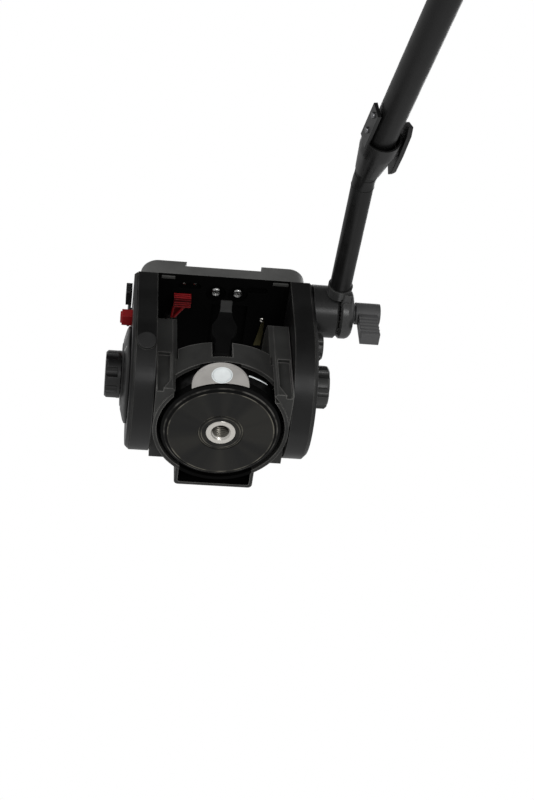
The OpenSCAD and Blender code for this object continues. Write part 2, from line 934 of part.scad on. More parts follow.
// Brass strip under the platform that keeps the clamp from rattling
module leaf_spring() {
    color("#a8843c") translate([leaf_x, leaf_y, platform_z - leaf[2]]) rotate(leaf_turn)
        translate([-leaf[0] / 2, -leaf[1] / 2, 0]) cube(leaf);
}

module axle_body() {
    bar_x(axle_r, cavity_x0 + end_play / 2, arm_x + flange_t, 0, tilt_z);
    bar_x(flange_r, arm_x, arm_x + flange_t, 0, tilt_z);
}

module left_axle() {
    color("#9a9a98") left() axle_body();
}

module right_axle() {
    color("#9a9a98") axle_body();
}

module tilt_drag_rotor() {
    low = cavity_x0 + end_play;
    color("#b9b9ba") left() turned_x() polygon([
        [axle_r, low], [drag_rotor_r, low], [drag_rotor_r, low + drag_rotor_t],
        [drag_hub_r, low + drag_rotor_t], [drag_hub_r, cavity_x1 - end_play], [axle_r, cavity_x1 - end_play]
    ]);
}

module spring_arbor() {
    color("#9a9a98") difference() {
        bar_x(arbor_r, cavity_x0 + end_play, cavity_x1 - end_play, 0, tilt_z);
        bar_x(axle_r, cavity_x0 - over, cavity_x1 + over, 0, tilt_z);
    }
}

// Stepped dial on the left cover
module drag_dial() {
    bore = control_shaft_r + run;
    rim_t = 1.2;
    shoulder = [1.6, 2];
    flat_w = 1.5;
    step_bevel = 0.5;
    color("#232325") left() turned_x() polygon([
        [bore, side_x], [dial_r, side_x], [dial_r, side_x + rim_t],
        [dial_r - shoulder[0], side_x + shoulder[1]], [dial_step_r + flat_w, side_x + dial_t],
        [dial_step_r, side_x + dial_t],
        [dial_step_r - step_bevel, side_x + dial_t + dial_step], [bore, side_x + dial_t + dial_step]
    ]);
}

// Radial teeth cut into a round face that lies at X = x
module tooth_cuts(x) {
    translate([x, rosette_y, rosette_z]) for (i = [0 : tooth_n - 1]) rotate([360 * i / tooth_n, 0, 0])
        translate([0, 0, tooth_in]) rotate([0, 0, 45])
            translate([-tooth_d / 2, -tooth_d / 2, 0]) cube([tooth_d, tooth_d, rosette_r]);
}

module rosette_boss() {
    color("#2d2d2f") difference() {
        translate([side_x, rosette_y, rosette_z]) rotate([0, 90, 0]) rotate_extrude() polygon([
            [0, 0], [rosette_r, 0], [rosette_r, boss_l - joint_bevel], [rosette_r - joint_bevel, boss_l],
            [0, boss_l]
        ]);
        bar_x(bolt_r + run, boss_face - bolt_depth - 1, boss_face + over, rosette_y, rosette_z);
        tooth_cuts(boss_face);
    }
}

module catch_pin() {
    head_r = catch_pin_r + 1.2;
    head = 1;
    low = catch_z - catch_arm_t - slip;
    color("#8a8a88") translate([catch_x, catch_y, 0]) {
        translate([0, 0, low]) cylinder(r = catch_pin_r, h = catch_arm_t + 2 * slip + catch_pin_in);
        translate([0, 0, low - head]) cylinder(r = head_r, h = head);
    }
}

// Cone washer at the bottom of the button's well
module button_spring() {
    r_in = 1;
    r_out = button_w / 2 - 0.4;
    dish = 0.3;
    t = 0.2;
    color("#8a8a88") translate([-button_bottom, button_y, button_z]) rotate([0, -90, 0])
        rotate_extrude() polygon([[r_in, dish], [r_out, 0], [r_out, t], [r_in, dish + t]]);
}

// Knobs and levers
// Knob along X with a flat shaft end, a bevelled edge and round flutes
module fluted_knob(r, x0, h, flutes, flute_r) {
    bevel = 1.1;
    skirt = 1.6;
    flute_z = r + flute_r * 0.45;
    difference() {
        translate([x0, 0, 0]) rotate([0, 90, 0]) rotate_extrude() polygon([
            [0, 0], [r, 0], [r, h - bevel], [r - bevel, h], [0, h]
        ]);
        for (i = [0 : flutes - 1]) rotate([360 * i / flutes, 0, 0])
            bar_x(flute_r, x0 + skirt, x0 + h + over, 0, flute_z);
    }
}

module tilt_drag_knob() {
    color("#202022") left() translate([0, 0, tilt_z]) {
        fluted_knob(drag_knob_r, drag_knob_x, drag_knob_h, 8, 3);
        bar_x(control_shaft_r, control_end, drag_knob_x + over);
    }
}

module counterbalance_knob() {
    color("#202022") translate([0, 0, tilt_z]) {
        fluted_knob(balance_knob_r, balance_knob_x, balance_knob_h, 7, 3);
        bar_x(control_shaft_r, control_end, balance_knob_x + over);
    }
}

module tilt_lock_knob() {
    color("#202022") translate([0, lock_y, lock_z]) {
        fluted_knob(lock_knob_r, lock_knob_x, lock_knob_h, 6, 2);
        bar_x(lock_stud_r, control_end, lock_knob_x + over);
    }
}

// Lever on the left side of the platform with a ribbed thumb end
module plate_lock_lever() {
    ribs = 4;
    rib_r = 0.8;
    rib_step = thumb_w / ribs;
    blade_w = 6;
    reach = [thumb_y - plate_lock_y, thumb_z - plate_lock_z];
    color("#262628") {
        bar_x(control_shaft_r, -plate_lock_x - over, -platform_x + lock_shaft_l, plate_lock_y, plate_lock_z);
        slab_x(-plate_lock_x - plate_lock_t, -plate_lock_x) translate([plate_lock_y, plate_lock_z]) {
            circle(plate_lock_r);
            rotate(atan2(reach[1], reach[0])) translate([0, -blade_w / 2]) square([norm(reach), blade_w]);
        }
        slab_x(-plate_lock_x - thumb_t, -plate_lock_x) translate([thumb_y, thumb_z]) {
            square(thumb_w, center = true);
            for (i = [0 : ribs - 1])
                translate([-thumb_w / 2, (i + 0.5) * rib_step - thumb_w / 2]) circle(rib_r);
        }
    }
}

// Bar that presses on the camera plate's bevel
module clamp_jaw() {
    x = -channel_w / 2 - jaw_w + jaw_bite;
    low = -channel_z - jaw_play;
    tip = x + jaw_w - jaw_play;
    color("#55565a") rotate([-90, 0, 0]) translate([0, 0, -jaw_l / 2]) linear_extrude(jaw_l) polygon([
        [x, low], [tip, low], [tip + dovetail, -platform_top], [x, -platform_top]
    ]);
}

module safety_button() {
    x0 = button_bottom + button_travel + button_rest;
    color("#c01722") union() {
        button_well(x0, button_out - button_bevel, 0);
        button_well(x0, button_out, -button_bevel);
    }
}

// Red catch under the platform: hub on its pin, slanted arm and ribbed thumb pad
module plate_catch() {
    arm_w = 4.4;
    reach = [catch_pad_x - catch_x, catch_pad_y - catch_y];
    color("#c01722") difference() {
        union() {
            translate([catch_x, catch_y, catch_z - catch_arm_t]) linear_extrude(catch_arm_t) {
                circle(catch_r);
                rotate(atan2(reach[1], reach[0])) translate([0, -arm_w / 2]) square([norm(reach), arm_w]);
            }
            thumb_pad();
        }
        translate([catch_x, catch_y, catch_z - catch_arm_t - over])
            cylinder(r = catch_pin_r + run, h = catch_arm_t + 2 * over);
    }
}

// Thumb pad of the catch, with level ribs on its rear face
module thumb_pad() {
    ribs = 4;
    rib_d = 0.8;
    step = catch_pad[2] / ribs;
    rear = catch_pad_y - catch_pad[1] / 2;
    low = catch_z - slip - catch_pad[2];
    rib = 0.6 * step;
    slab_x(catch_pad_x - catch_pad[0] / 2, catch_pad_x + catch_pad[0] / 2) {
        translate([rear + rib_d, low]) square([catch_pad[1] - rib_d, catch_pad[2]]);
        for (i = [0 : ribs - 1]) translate([rear, low + i * step]) square([2 * rib_d, rib]);
    }
}

// Camera plate
module camera_plate() {
    half = channel_w / 2 - plate_play;
    neck = half - dovetail * (platform_top - plate_z0) / channel_depth;
    color("#3d3d40") difference() {
        translate([0, plate_y0, 0]) rotate([-90, 0, 0]) linear_extrude(plate_l) polygon([
            [-half, -plate_z0], [half, -plate_z0], [neck, -platform_top], [neck, -plate_top],
            [-neck, -plate_top], [-neck, -platform_top]
        ]);
        translate([0, screw_y, plate_z0 - over])
            cylinder(r = screw_head_r + slip, h = screw_head + 2 * slip + over);
        translate([0, screw_y, plate_z0 - over]) cylinder(r = screw_r + run, h = plate_t + 2 * over);
    }
}

module plate_pad() {
    rim = 2;
    pad_w = channel_w - 2 * (dovetail + rim);
    hole_r = screw_r + 1;
    color("#19191a") difference() {
        translate([-pad_w / 2, plate_y0 + rim, plate_top]) cube([pad_w, plate_l - 2 * rim, pad_h]);
        translate([0, screw_y, plate_top - over]) cylinder(r = hole_r, h = pad_h + 2 * over);
    }
}

module camera_screw() {
    color("#b8b8b8") translate([0, screw_y, 0]) difference() {
        union() {
            translate([0, 0, plate_z0 + slip]) cylinder(r = screw_head_r, h = screw_head);
            translate([0, 0, plate_z0 + slip]) cylinder(r = screw_neck_r, h = plate_t + pad_h - slip);
            translate([0, 0, plate_top + pad_h]) cylinder(r = screw_r, h = screw_stand);
        }
        translate([-coin_slot / 2, -screw_head_r - over, plate_z0 - over])
            cube([coin_slot, 2 * (screw_head_r + over), over + slip + coin_depth]);
    }
}

// Pan bar
// First length of the bar: local Z runs from the rosette along the rod
module along_rod() {
    translate([rod_x, rosette_y, rosette_z]) rotate([90 + bar_drop, 0, 0]) children();
}

// Second length of the bar: local Z runs from the bend along the tube
module along_tube() {
    along_rod() translate([0, 0, bar_reach]) rotate([0, 0, bar_roll]) rotate([bar_bend, 0, 0]) children();
}

module bar_head() {
    neck_s = rosette_r + 0.5;
    web = 0.5;
    color("#2d2d2f") difference() {
        union() {
            translate([head_x, rosette_y, rosette_z]) rotate([0, 90, 0]) rotate_extrude() {
                polygon([
                    [0, 0], [rosette_r - joint_bevel, 0], [rosette_r, joint_bevel],
                    [rosette_r, head_t - head_round],
                    [rosette_r - head_round, head_t], [0, head_t]
                ]);
                translate([rosette_r - head_round, head_t - head_round]) circle(head_round);
            }
            along_rod() {
                translate([0, 0, neck_s]) cylinder(r = neck_r, h = neck_l - neck_s);
                translate([head_x - rod_x, web - neck_r, 0])
                    cube([rod_x + neck_r - head_x - web, 2 * (neck_r - web), neck_l - 2]);
            }
        }
        bar_x(bolt_r + run, head_x - over, head_x + head_t + over, rosette_y, rosette_z);
        along_rod() translate([0, 0, rod_in]) cylinder(r = rod_r, h = neck_l);
        tooth_cuts(head_x);
    }
}

module bar_rod() {
    color("#1d1d1f") {
        along_rod() {
            translate([0, 0, rod_in]) cylinder(r = rod_r, h = bar_reach - bend_l - rod_in + bend_lap);
            rotate([0, 0, bar_roll]) translate([0, -bend_r, bar_reach - bend_l]) rotate([90, 0, 90])
                rotate_extrude(angle = bar_bend) translate([bend_r, 0]) circle(rod_r + bend_swell);
        }
        along_tube() translate([0, 0, bend_l - bend_lap]) cylinder(r = rod_r, h = rod_s - bend_l + bend_lap);
    }
}

// Wing knob that draws the bar head on to the rosette
module bar_lock_knob() {
    ribs = 5;
    rib_r = 0.7;
    rib_step = 2.6;
    wing_w = 10;
    wing_d = 7;
    wing_x0 = bar_knob_x + 1.3;
    color("#3a3a3c") translate([0, rosette_y, rosette_z]) {
        bar_x(bolt_r, boss_face - bolt_depth, bar_knob_x + over);
        bar_x(bar_knob_r, bar_knob_x, bar_knob_x + bar_knob_h);
        difference() {
            translate([wing_x0, -wing_d / 2, -wing_reach]) cube([wing_w, wing_d, wing_reach]);
            for (i = [0 : ribs - 1]) bar_x(rib_r, wing_x0 - over, wing_x0 + wing_w + over, -wing_d / 2,
                                           rib_step * (i + 1) - wing_reach);
        }
    }
}

module bar_tube() {
    color("#1d1d1f") along_tube() ring(tube_in, tube_r, tube_s, tube_s + tube_l);
}

// Tapered clamp collar on the tube's lower end, cupped round the tube, with an ear on its left
module bar_collar() {
    cup_s = collar_s + collar_l - cup_depth;
    color("#2d2d2f") along_tube() difference() {
        union() {
            rotate_extrude() polygon([
                [rod_r + run, collar_s], [collar_r0, collar_s], [collar_r1, cup_s],
                [collar_r1, collar_s + collar_l], [collar_r1 - cup_wall, collar_s + collar_l],
                [collar_r1 - cup_wall, cup_s], [tube_r, cup_s], [tube_r, tube_s], [rod_r + run, tube_s]
            ]);
            translate([-collar_r1 - 0.2, -ear_w / 2, collar_s + collar_l - 3])
                cube([ear_t, ear_w, ear_l + 3]);
            bar_x(clamp_boss_r, tube_r + 0.5, wing_x - 0.2, 0, wing_s);
        }
        bar_x(wing_pin_r + run, tube_r + 0.9, wing_x + over, 0, wing_s);
        collar_screw_places() rotate([0, -90, 0]) cylinder(r = collar_screw_r, h = ear_t + over);
    }
}

module collar_screw_places() {
    for (s = collar_screw_s)
        translate([-collar_r1 - 0.2 + collar_screw_in, 0, collar_s + collar_l + s]) children();
}

module collar_screws() {
    color("#4a4a4c") along_tube() collar_screw_places()
        rotate([0, -90, 0]) cylinder(r = collar_screw_r, h = collar_screw_in + collar_screw_head);
}

module bar_grip() {
    grooves = 12;
    groove_r = 1.2;
    groove_step = 8;
    groove_s = grip_s + 12;
    color("#151516") along_tube() difference() {
        rotate_extrude() polygon([
            [tube_r, grip_s], [grip_r - 2, grip_s], [grip_r, grip_s + 4], [grip_r, grip_s + grip_l - 2],
            [grip_r - 2, grip_s + grip_l], [tube_r, grip_s + grip_l]
        ]);
        for (i = [0 : grooves - 1]) translate([0, 0, groove_s + groove_step * i])
            rotate_extrude() translate([grip_r + 0.4, 0]) circle(groove_r);
    }
}

module grip_cap() {
    plug_l = 6;
    cap_r = grip_r - 2.4;
    end = tube_s + tube_l;
    color("#202022") along_tube() rotate_extrude() polygon([
        [0, end - plug_l], [tube_in, end - plug_l], [tube_in, end], [cap_r, end],
        [cap_r - 1, end + cap_t - 1], [cap_r - 2.6, end + cap_t], [0, end + cap_t]
    ]);
}

// Wing lever that tightens the collar, in a plane beside the tube
module collar_wing() {
    color("#3a3a3c") along_tube() {
        bar_x(wing_pin_r, tube_r + 1.2, wing_x + 1, 0, wing_s);
        translate([0, 0, wing_s]) slab_x(wing_x, wing_x + wing_t) {
            circle(wing_r);
            polygon([
                [-wing_r, 0], [-wing_r + 1, wing_l - 5], [-2, wing_l], [3, wing_l - 3], [wing_r, 0],
                [1, -wing_l + 4], [-3, -wing_l + 1], [-wing_r, -wing_l + 6]
            ]);
        }
    }
}

base_disc();
thread_insert();
pan_spindle();
spindle_screws();
spindle_nut();
pan_drag_stator();
pan_housing();
left_cheek();
right_cheek();
cheek_screws();
pan_bushing();
pan_drag_rotor();
level_bracket();
level_vial();
tilt_bushings();
tilt_drag_stator();
counterbalance_spring();
drag_cover();
spring_cover();
pan_lock_pin();
pan_lock_lever();
left_arm();
arm_plug();
right_arm();
left_cover();
right_cover();
cover_screws();
platform();
arm_screws();
underside_screws();
leaf_spring();
left_axle();
right_axle();
tilt_drag_rotor();
spring_arbor();
drag_dial();
rosette_boss();
catch_pin();
button_spring();
tilt_drag_knob();
counterbalance_knob();
tilt_lock_knob();
plate_lock_lever();
clamp_jaw();
safety_button();
plate_catch();
camera_plate();
plate_pad();
camera_screw();
bar_head();
bar_rod();
bar_lock_knob();
bar_tube();
bar_collar();
collar_screws();
bar_grip();
grip_cap();
collar_wing();
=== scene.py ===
"""Looks of the fluid video head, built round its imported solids.

Lengths are in metres, and mm is one millimetre. The outlines and places of new pieces are in plain
millimetres, which the functions that make them turn into metres.
"""

import json
import math

import bpy
from mathutils import Matrix, Quaternion, Vector

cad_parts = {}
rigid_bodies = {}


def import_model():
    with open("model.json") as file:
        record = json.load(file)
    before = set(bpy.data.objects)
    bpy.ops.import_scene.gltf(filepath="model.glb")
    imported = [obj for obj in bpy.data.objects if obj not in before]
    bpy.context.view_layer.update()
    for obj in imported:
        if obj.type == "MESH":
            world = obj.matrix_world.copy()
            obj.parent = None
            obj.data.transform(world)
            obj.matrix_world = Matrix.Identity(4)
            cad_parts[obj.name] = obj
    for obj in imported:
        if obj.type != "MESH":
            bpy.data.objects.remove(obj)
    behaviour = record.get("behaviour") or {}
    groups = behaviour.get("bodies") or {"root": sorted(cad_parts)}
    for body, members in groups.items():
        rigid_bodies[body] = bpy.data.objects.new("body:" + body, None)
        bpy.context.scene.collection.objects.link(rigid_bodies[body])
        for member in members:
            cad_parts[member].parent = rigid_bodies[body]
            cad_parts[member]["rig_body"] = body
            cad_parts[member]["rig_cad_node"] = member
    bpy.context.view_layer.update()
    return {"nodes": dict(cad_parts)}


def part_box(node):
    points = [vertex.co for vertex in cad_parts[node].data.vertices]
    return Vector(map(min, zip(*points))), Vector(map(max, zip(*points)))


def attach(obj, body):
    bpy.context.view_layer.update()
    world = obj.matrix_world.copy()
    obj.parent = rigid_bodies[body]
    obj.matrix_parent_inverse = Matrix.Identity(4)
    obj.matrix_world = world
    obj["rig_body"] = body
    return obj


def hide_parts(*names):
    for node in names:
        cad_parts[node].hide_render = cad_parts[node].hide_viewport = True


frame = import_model()
mm = 0.001

# Camera
# The head is seen from below and behind, a little from the operator's left, so that its base faces the
# viewer. A long lens stands well back and the frame is rolled slightly.
view_turn = math.radians(-9.64)
view_rise = math.radians(-48.62)
view_roll = math.radians(-3.72)
view_range = 0.86038
view_target = Vector((0.02628, 0.01124, 0.04))
view_back = Vector((
    math.sin(view_turn) * math.cos(view_rise),
    -math.cos(view_turn) * math.cos(view_rise),
    math.sin(view_rise),
))
bpy.ops.object.camera_add(location=view_target + view_range * view_back)
camera = bpy.context.object
camera.name = "camera"
camera.rotation_mode = "QUATERNION"
camera.rotation_quaternion = (-view_back).to_track_quat("-Z", "Y") @ Quaternion((0, 0, 1), view_roll)
camera.data.sensor_width = 36
camera.data.lens = 74.25
camera.data.clip_start = 0.05
bpy.context.scene.camera = camera


# Studio
# A white room, dimmer towards the ceiling, with a dark flag behind the head and above it. The main soft box
# stands behind on the left, with small ones low behind and in front and wide ones to the right and above.
class Wire:
    """A shader socket. Operators add Math nodes, and node() adds any other kind."""

    def __init__(self, tree, socket=None):
        self.tree = tree
        self.socket = socket

    def node(self, kind, settings=None, inputs=None, out=0):
        made = self.tree.nodes.new("ShaderNode" + kind)
        for name, value in (settings or {}).items():
            setattr(made, name, value)
        for name, value in (inputs or {}).items():
            if isinstance(value, Wire):
                self.tree.links.new(value.socket, made.inputs[name])
            else:
                made.inputs[name].default_value = value
        return Wire(self.tree, made.outputs[out])

    def math(self, operation, first, second=0.0):
        return self.node("Math", {"operation": operation}, {0: first, 1: second})

    def __add__(self, other):
        return self.math("ADD", self, other)

    def __mul__(self, other):
        return self.math("MULTIPLY", self, other)

    def __sub__(self, other):
        return self.math("SUBTRACT", self, other)

    def __rsub__(self, other):
        return self.math("SUBTRACT", other, self)

    __radd__ = __add__
    __rmul__ = __mul__

    def between(self, low, high, start=0.0, end=1.0):
        """The value moved from the range low to high on to start to end, eased and held at the ends."""
        return self.node(
            "MapRange", {"interpolation_type": "SMOOTHSTEP"},
            {"Value": self, "From Min": low, "From Max": high, "To Min": start, "To Max": end},
        )

    def mix(self, first, second):
        """The first colour where the value is 0 and the second where it is 1, by the colour sockets."""
        return self.node("Mix", {"data_type": "RGBA"}, {0: self, 6: first, 7: second}, out=2)


def feed(shader, name, value):
    """Joins a value to one of the shader's sockets."""
    shader.id_data.links.new(value.socket, shader.inputs[name])


world = bpy.data.worlds.new("studio")
bpy.context.scene.world = world
world.use_nodes = True
sky = Wire(world.node_tree)
seen, glossed, cleared = (
    sky.node("LightPath", out=f"Is {ray} Ray") for ray in ("Camera", "Glossy", "Transmission")
)
outlook = sky.node("TexCoord", out="Generated")
forward = sky.node("SeparateXYZ", inputs={0: outlook}, out="Y")
upward = sky.node("SeparateXYZ", inputs={0: outlook}, out="Z")
flag_behind = (0.05, 0.55)
flag_above = (-0.15, 0.25)
low_half = (-0.1, 0.5)
mirror_level = 0.45
mirror_low_gain = 0.42
mirror_flag_loss = 0.40
room_level = 0.70
room_flag_loss = 0.35
flag = (0 - forward).between(*flag_behind) * upward.between(*flag_above)
low_room = (0 - upward).between(*low_half)
mirrored = glossed + cleared
mirror_wall = mirror_level + mirror_low_gain * low_room - mirror_flag_loss * flag
wall = mirrored * mirror_wall + (1 - mirrored) * (room_level - room_flag_loss * flag)
backdrop = world.node_tree.nodes["Background"]
backdrop.inputs["Color"].default_value = (1, 1, 1, 1)
feed(backdrop, "Strength", seen + (1 - seen) * wall)

bpy.context.scene.view_settings.view_transform = "Standard"


def soft_box(name, place, size, watts):
    """A square lamp that faces the head."""
    bpy.ops.object.light_add(type="AREA", location=place)
    lamp = bpy.context.object
    lamp.name = name
    lamp.rotation_mode = "QUATERNION"
    lamp.rotation_quaternion = (view_target - Vector(place)).to_track_quat("-Z", "Y")
    lamp.data.size = size
    lamp.data.energy = watts


soft_box("soft_box_low", place=(0.18, -0.70, -0.74), size=0.3, watts=2.0)
soft_box("soft_box_front", place=(0.12, 0.8, -0.75), size=0.25, watts=0.12)
soft_box("soft_box_left", place=(-0.75, -0.8, 0.0), size=0.5, watts=3.2)
soft_box("soft_box_right", place=(1.1, -0.3, 0.2), size=0.6, watts=0.9)
soft_box("soft_box_top", place=(0.4, 0.5, 1.1), size=0.7, watts=3.0)


# Floor
# A plain pale sheet, low enough that the pan bar clears it at every tilt. It fades into the white room, and
# it is clear from its lower side, because the head is also seen from below.
def finish_of(name, colour, roughness, metallic=0.0, gloss=0.5):
    """A new material with its constants set, the wire that its nodes start from, and its shader."""
    made = bpy.data.materials.new(name)
    made.use_nodes = True
    shader = made.node_tree.nodes["Principled BSDF"]
    shader.inputs["Base Color"].default_value = (*colour, 1)
    shader.inputs["Roughness"].default_value = roughness
    shader.inputs["Metallic"].default_value = metallic
    shader.inputs["Specular IOR Level"].default_value = gloss
    return made, Wire(made.node_tree), shader


floor_z = -0.56
floor_size = 4.0
floor_fade = (0.6, 1.3)
bpy.ops.mesh.primitive_plane_add(size=floor_size, location=(0, 0, floor_z))
floor = bpy.context.object
floor.name = "floor"
floor_paint, floor_wire, floor_shader = finish_of("floor_paint", (0.8, 0.8, 0.79), roughness=0.9, gloss=0.1)
from_below = floor_wire.node("NewGeometry", out="Backfacing")
floor_place = floor_wire.node("TexCoord", out="Object")
reach = floor_wire.node("VectorMath", {"operation": "LENGTH"}, {0: floor_place}, out="Value")
clear = floor_wire.math("MAXIMUM", from_below, reach.between(*floor_fade))
sheet = Wire(floor_paint.node_tree, floor_shader.outputs["BSDF"])
faded = floor_wire.node("MixShader", inputs={0: clear, 1: sheet, 2: floor_wire.node("BsdfTransparent")})
feed(floor_paint.node_tree.nodes["Material Output"], "Surface", faded)
floor.data.materials.append(floor_paint)
floor.visible_glossy = False
floor.visible_shadow = False


# Base disc
# Turned from aluminium bar and painted satin black. Its lower face is left with the fine rings of the turning
# tool. Pale spokes across it and pale rings at its rim and hub are painted highlights in its colour. The
# tripod's plate seats on it.
patch_range = (0.3, 0.7)
soft_edge = 0.35 * mm
edge_samples = 4


def speckle(wire, place, size, detail=2.0):
    """Noise with spots of about that size."""
    return wire.node("TexNoise", inputs={"Vector": place, "Scale": 1 / size, "Detail": detail})


def shade(colour, factor):
    """The colour, lighter or darker by the factor."""
    return (*(min(1, part * factor) for part in colour), 1)


def mottled(wire, place, colour, size, by):
    """The colour, lighter and darker by that share in soft patches of that size, and the patches."""
    patches = speckle(wire, place, size, detail=3.0)
    return patches.between(*patch_range).mix(shade(colour, 1 - by), shade(colour, 1 + by)), patches


def uneven(patches, roughness, by):
    """A roughness that is higher and lower in the patches."""
    return patches.between(*patch_range, roughness - by, roughness + by)


def relief(wire, heights, depth, strength=1.0):
    """Bumps of that depth, over edges that are broken a little."""
    broken = wire.node("Bevel", {"samples": edge_samples}, {"Radius": soft_edge})
    return wire.node(
        "Bump", inputs={"Height": heights, "Distance": depth, "Strength": strength, "Normal": broken},
    )


def turned_paint(name, colour, roughness, gloss, depth, worn_and_glint_colour, spoke_highlight, highlight_rings, pitch=0.42 * mm):
    """Turned paint about Z: rings of that pitch and depth, with pale spokes and rings as painted highlights.
    """
    made, wire, shader = finish_of(name, colour, roughness, gloss=gloss)
    shader.inputs["Anisotropic"].default_value = 0.7
    place = wire.node("TexCoord", out="Object")
    level = wire.node("VectorMath", {"operation": "MULTIPLY"}, {0: place, 1: (1, 1, 0)})
    radius = wire.node("VectorMath", {"operation": "LENGTH"}, {0: level}, out="Value")
    around = wire.node("VectorMath", {"operation": "NORMALIZE"}, {0: level})
    rings = wire.math("SINE", radius * (2 * math.pi / pitch))
    tone, patches = mottled(wire, place, colour, size=9 * mm, by=0.18)
    # Pale spokes mixed into the colour are a painted sheen.
    spread = speckle(wire, around, size=0.625, detail=1.5)
    tone = spread.between(low=0.35, high=0.65, end=spoke_highlight).mix(tone, (*worn_and_glint_colour, 1))
    thin = patches.between(low=0.42, high=0.62, start=0.1)
    # Pale rings at the given radii, broken up in patches, are painted highlights.
    for ring_r, width in highlight_rings:
        ring_highlight = 1 - wire.math("ABSOLUTE", radius - ring_r).between(0.4 * width, width)
        tone = (ring_highlight * thin).mix(tone, (*worn_and_glint_colour, 1))
    feed(shader, "Base Color", tone)
    feed(shader, "Roughness", uneven(patches, roughness, by=0.06))
    feed(shader, "Normal", relief(wire, rings, depth))
    return made


merge_gap = 0.002 * mm
flat_angle = math.radians(0.2)
sharp_angle = math.radians(32)
edge_steps = 2


def pick(*pieces):
    """Selects these pieces alone, with the last one active."""
    bpy.ops.object.select_all(action="DESELECT")
    for piece in pieces:
        piece.select_set(True)
        bpy.context.view_layer.objects.active = piece


def settle(piece, material):
    """Smooth shading that keeps flat faces flat, and the finish."""
    pick(piece)
    bpy.ops.object.shade_smooth_by_angle(angle=sharp_angle)
    piece.modifiers.new("flats", "WEIGHTED_NORMAL").keep_sharp = True
    bpy.ops.object.modifier_apply(modifier="flats")
    piece.data.materials.clear()
    piece.data.materials.append(material)


def stand_in(piece, name):
    """The piece takes the place of a solid, on its body."""
    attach(piece, frame["nodes"][name]["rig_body"])
    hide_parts(name)


def dress(name, material, edge=0.0):
    """Stands a merged copy in for a solid, in its own finish, with edges of that width if given."""
    pick(frame["nodes"][name])
    bpy.ops.object.duplicate()
    piece = bpy.context.object
    piece.name = name + "_finished"
    del piece["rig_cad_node"]
    bpy.ops.mesh.customdata_custom_splitnormals_clear()
    bpy.ops.object.mode_set(mode="EDIT")
    bpy.ops.mesh.select_all(action="SELECT")
    bpy.ops.mesh.remove_doubles(threshold=merge_gap)
    bpy.ops.mesh.dissolve_limited(angle_limit=flat_angle)
    bpy.ops.object.mode_set(mode="OBJECT")
    if edge:
        bevel = piece.modifiers.new("edges", "BEVEL")
        bevel.width = edge
        bevel.segments = edge_steps
        bevel.angle_limit = sharp_angle
        bevel.use_clamp_overlap = False
        bpy.ops.object.modifier_apply(modifier="edges")
    settle(piece, material)
    stand_in(piece, name)
    return piece


def overpaint(piece, material, covered):
    """A further finish on the faces that the test picks."""
    piece.data.materials.append(material)
    layer = len(piece.data.materials) - 1
    for face in piece.data.polygons:
        if covered(face):
            face.material_index = layer


face_r = 26.7 * mm
face_lip = 0.2 * mm
disc_paint = turned_paint(
    "disc_paint", (0.005, 0.005, 0.0045), roughness=0.34, gloss=0.15, depth=0.010 * mm,
    worn_and_glint_colour=(0.13, 0.122, 0.10), spoke_highlight=0.09,
    highlight_rings=((face_r - 0.25 * mm, 0.45 * mm), (10.9 * mm, 0.35 * mm), (9.7 * mm, 0.3 * mm)),
)
# The rim has its own darker paint and one pale ring, a painted highlight.
rim_paint = turned_paint(
    "rim_paint", (0.003, 0.003, 0.003), roughness=0.42, gloss=0.05, depth=0.004 * mm,
    worn_and_glint_colour=(0.09, 0.087, 0.08), spoke_highlight=0.0, highlight_rings=((28.2 * mm, 0.45 * mm),),
)
disc = dress("base_disc", disc_paint, edge=0.08 * mm)
overpaint(disc, rim_paint, lambda face: math.hypot(face.center.x, face.center.y) > face_r + face_lip)


# Thread insert
# Turned from steel bar and tapped with a coarse tripod thread. A wide countersink leads into the thread, and
# the insert is pressed into the disc.
def bare_metal(name, colour, roughness):
    """Turned or ground metal: fine lines, soft stains and a little variation in gloss."""
    made, wire, shader = finish_of(name, colour, roughness, metallic=1.0)
    place = wire.node("TexCoord", out="Object")
    tone, patches = mottled(wire, place, colour, size=3 * mm, by=0.10)
    feed(shader, "Base Color", tone)
    feed(shader, "Roughness", uneven(patches, roughness, by=0.07))
    feed(shader, "Normal", relief(wire, speckle(wire, place, size=0.35 * mm), depth=0.006 * mm))
    return made


def drawn(name, points):
    """A line through points in millimetres, left in edit mode."""
    bpy.ops.object.select_all(action="DESELECT")
    bpy.ops.mesh.primitive_plane_add(size=mm)
    piece = bpy.context.object
    piece.name = name
    bpy.ops.object.mode_set(mode="EDIT")
    bpy.ops.mesh.select_all(action="SELECT")
    bpy.ops.mesh.merge(type="CENTER")
    bpy.ops.transform.translate(value=Vector(points[0]) * mm)
    for start, end in zip(points, points[1:]):
        step = (Vector(end) - Vector(start)) * mm
        bpy.ops.mesh.extrude_region_move(TRANSFORM_OT_translate={"value": step})
    return piece


def close(piece):
    """Merges the seams of a new mesh and points its faces outwards."""
    pick(piece)
    bpy.ops.object.mode_set(mode="EDIT")
    bpy.ops.mesh.select_all(action="SELECT")
    bpy.ops.mesh.remove_doubles(threshold=merge_gap)
    bpy.ops.mesh.normals_make_consistent(inside=False)
    bpy.ops.object.mode_set(mode="OBJECT")
    return piece


def turned(name, outline, steps=64, rise=0.0, turns=1):
    """A piece turned about Z from radii and heights in millimetres. With a rise it winds upwards."""
    piece = drawn(name, [(radius, 0, height) for radius, height in outline])
    bpy.ops.object.mode_set(mode="OBJECT")
    winding = piece.modifiers.new("winding", "SCREW")
    winding.steps = steps
    winding.render_steps = steps
    winding.screw_offset = rise * mm
    winding.iterations = turns
    bpy.ops.object.modifier_apply(modifier="winding")
    return close(piece)


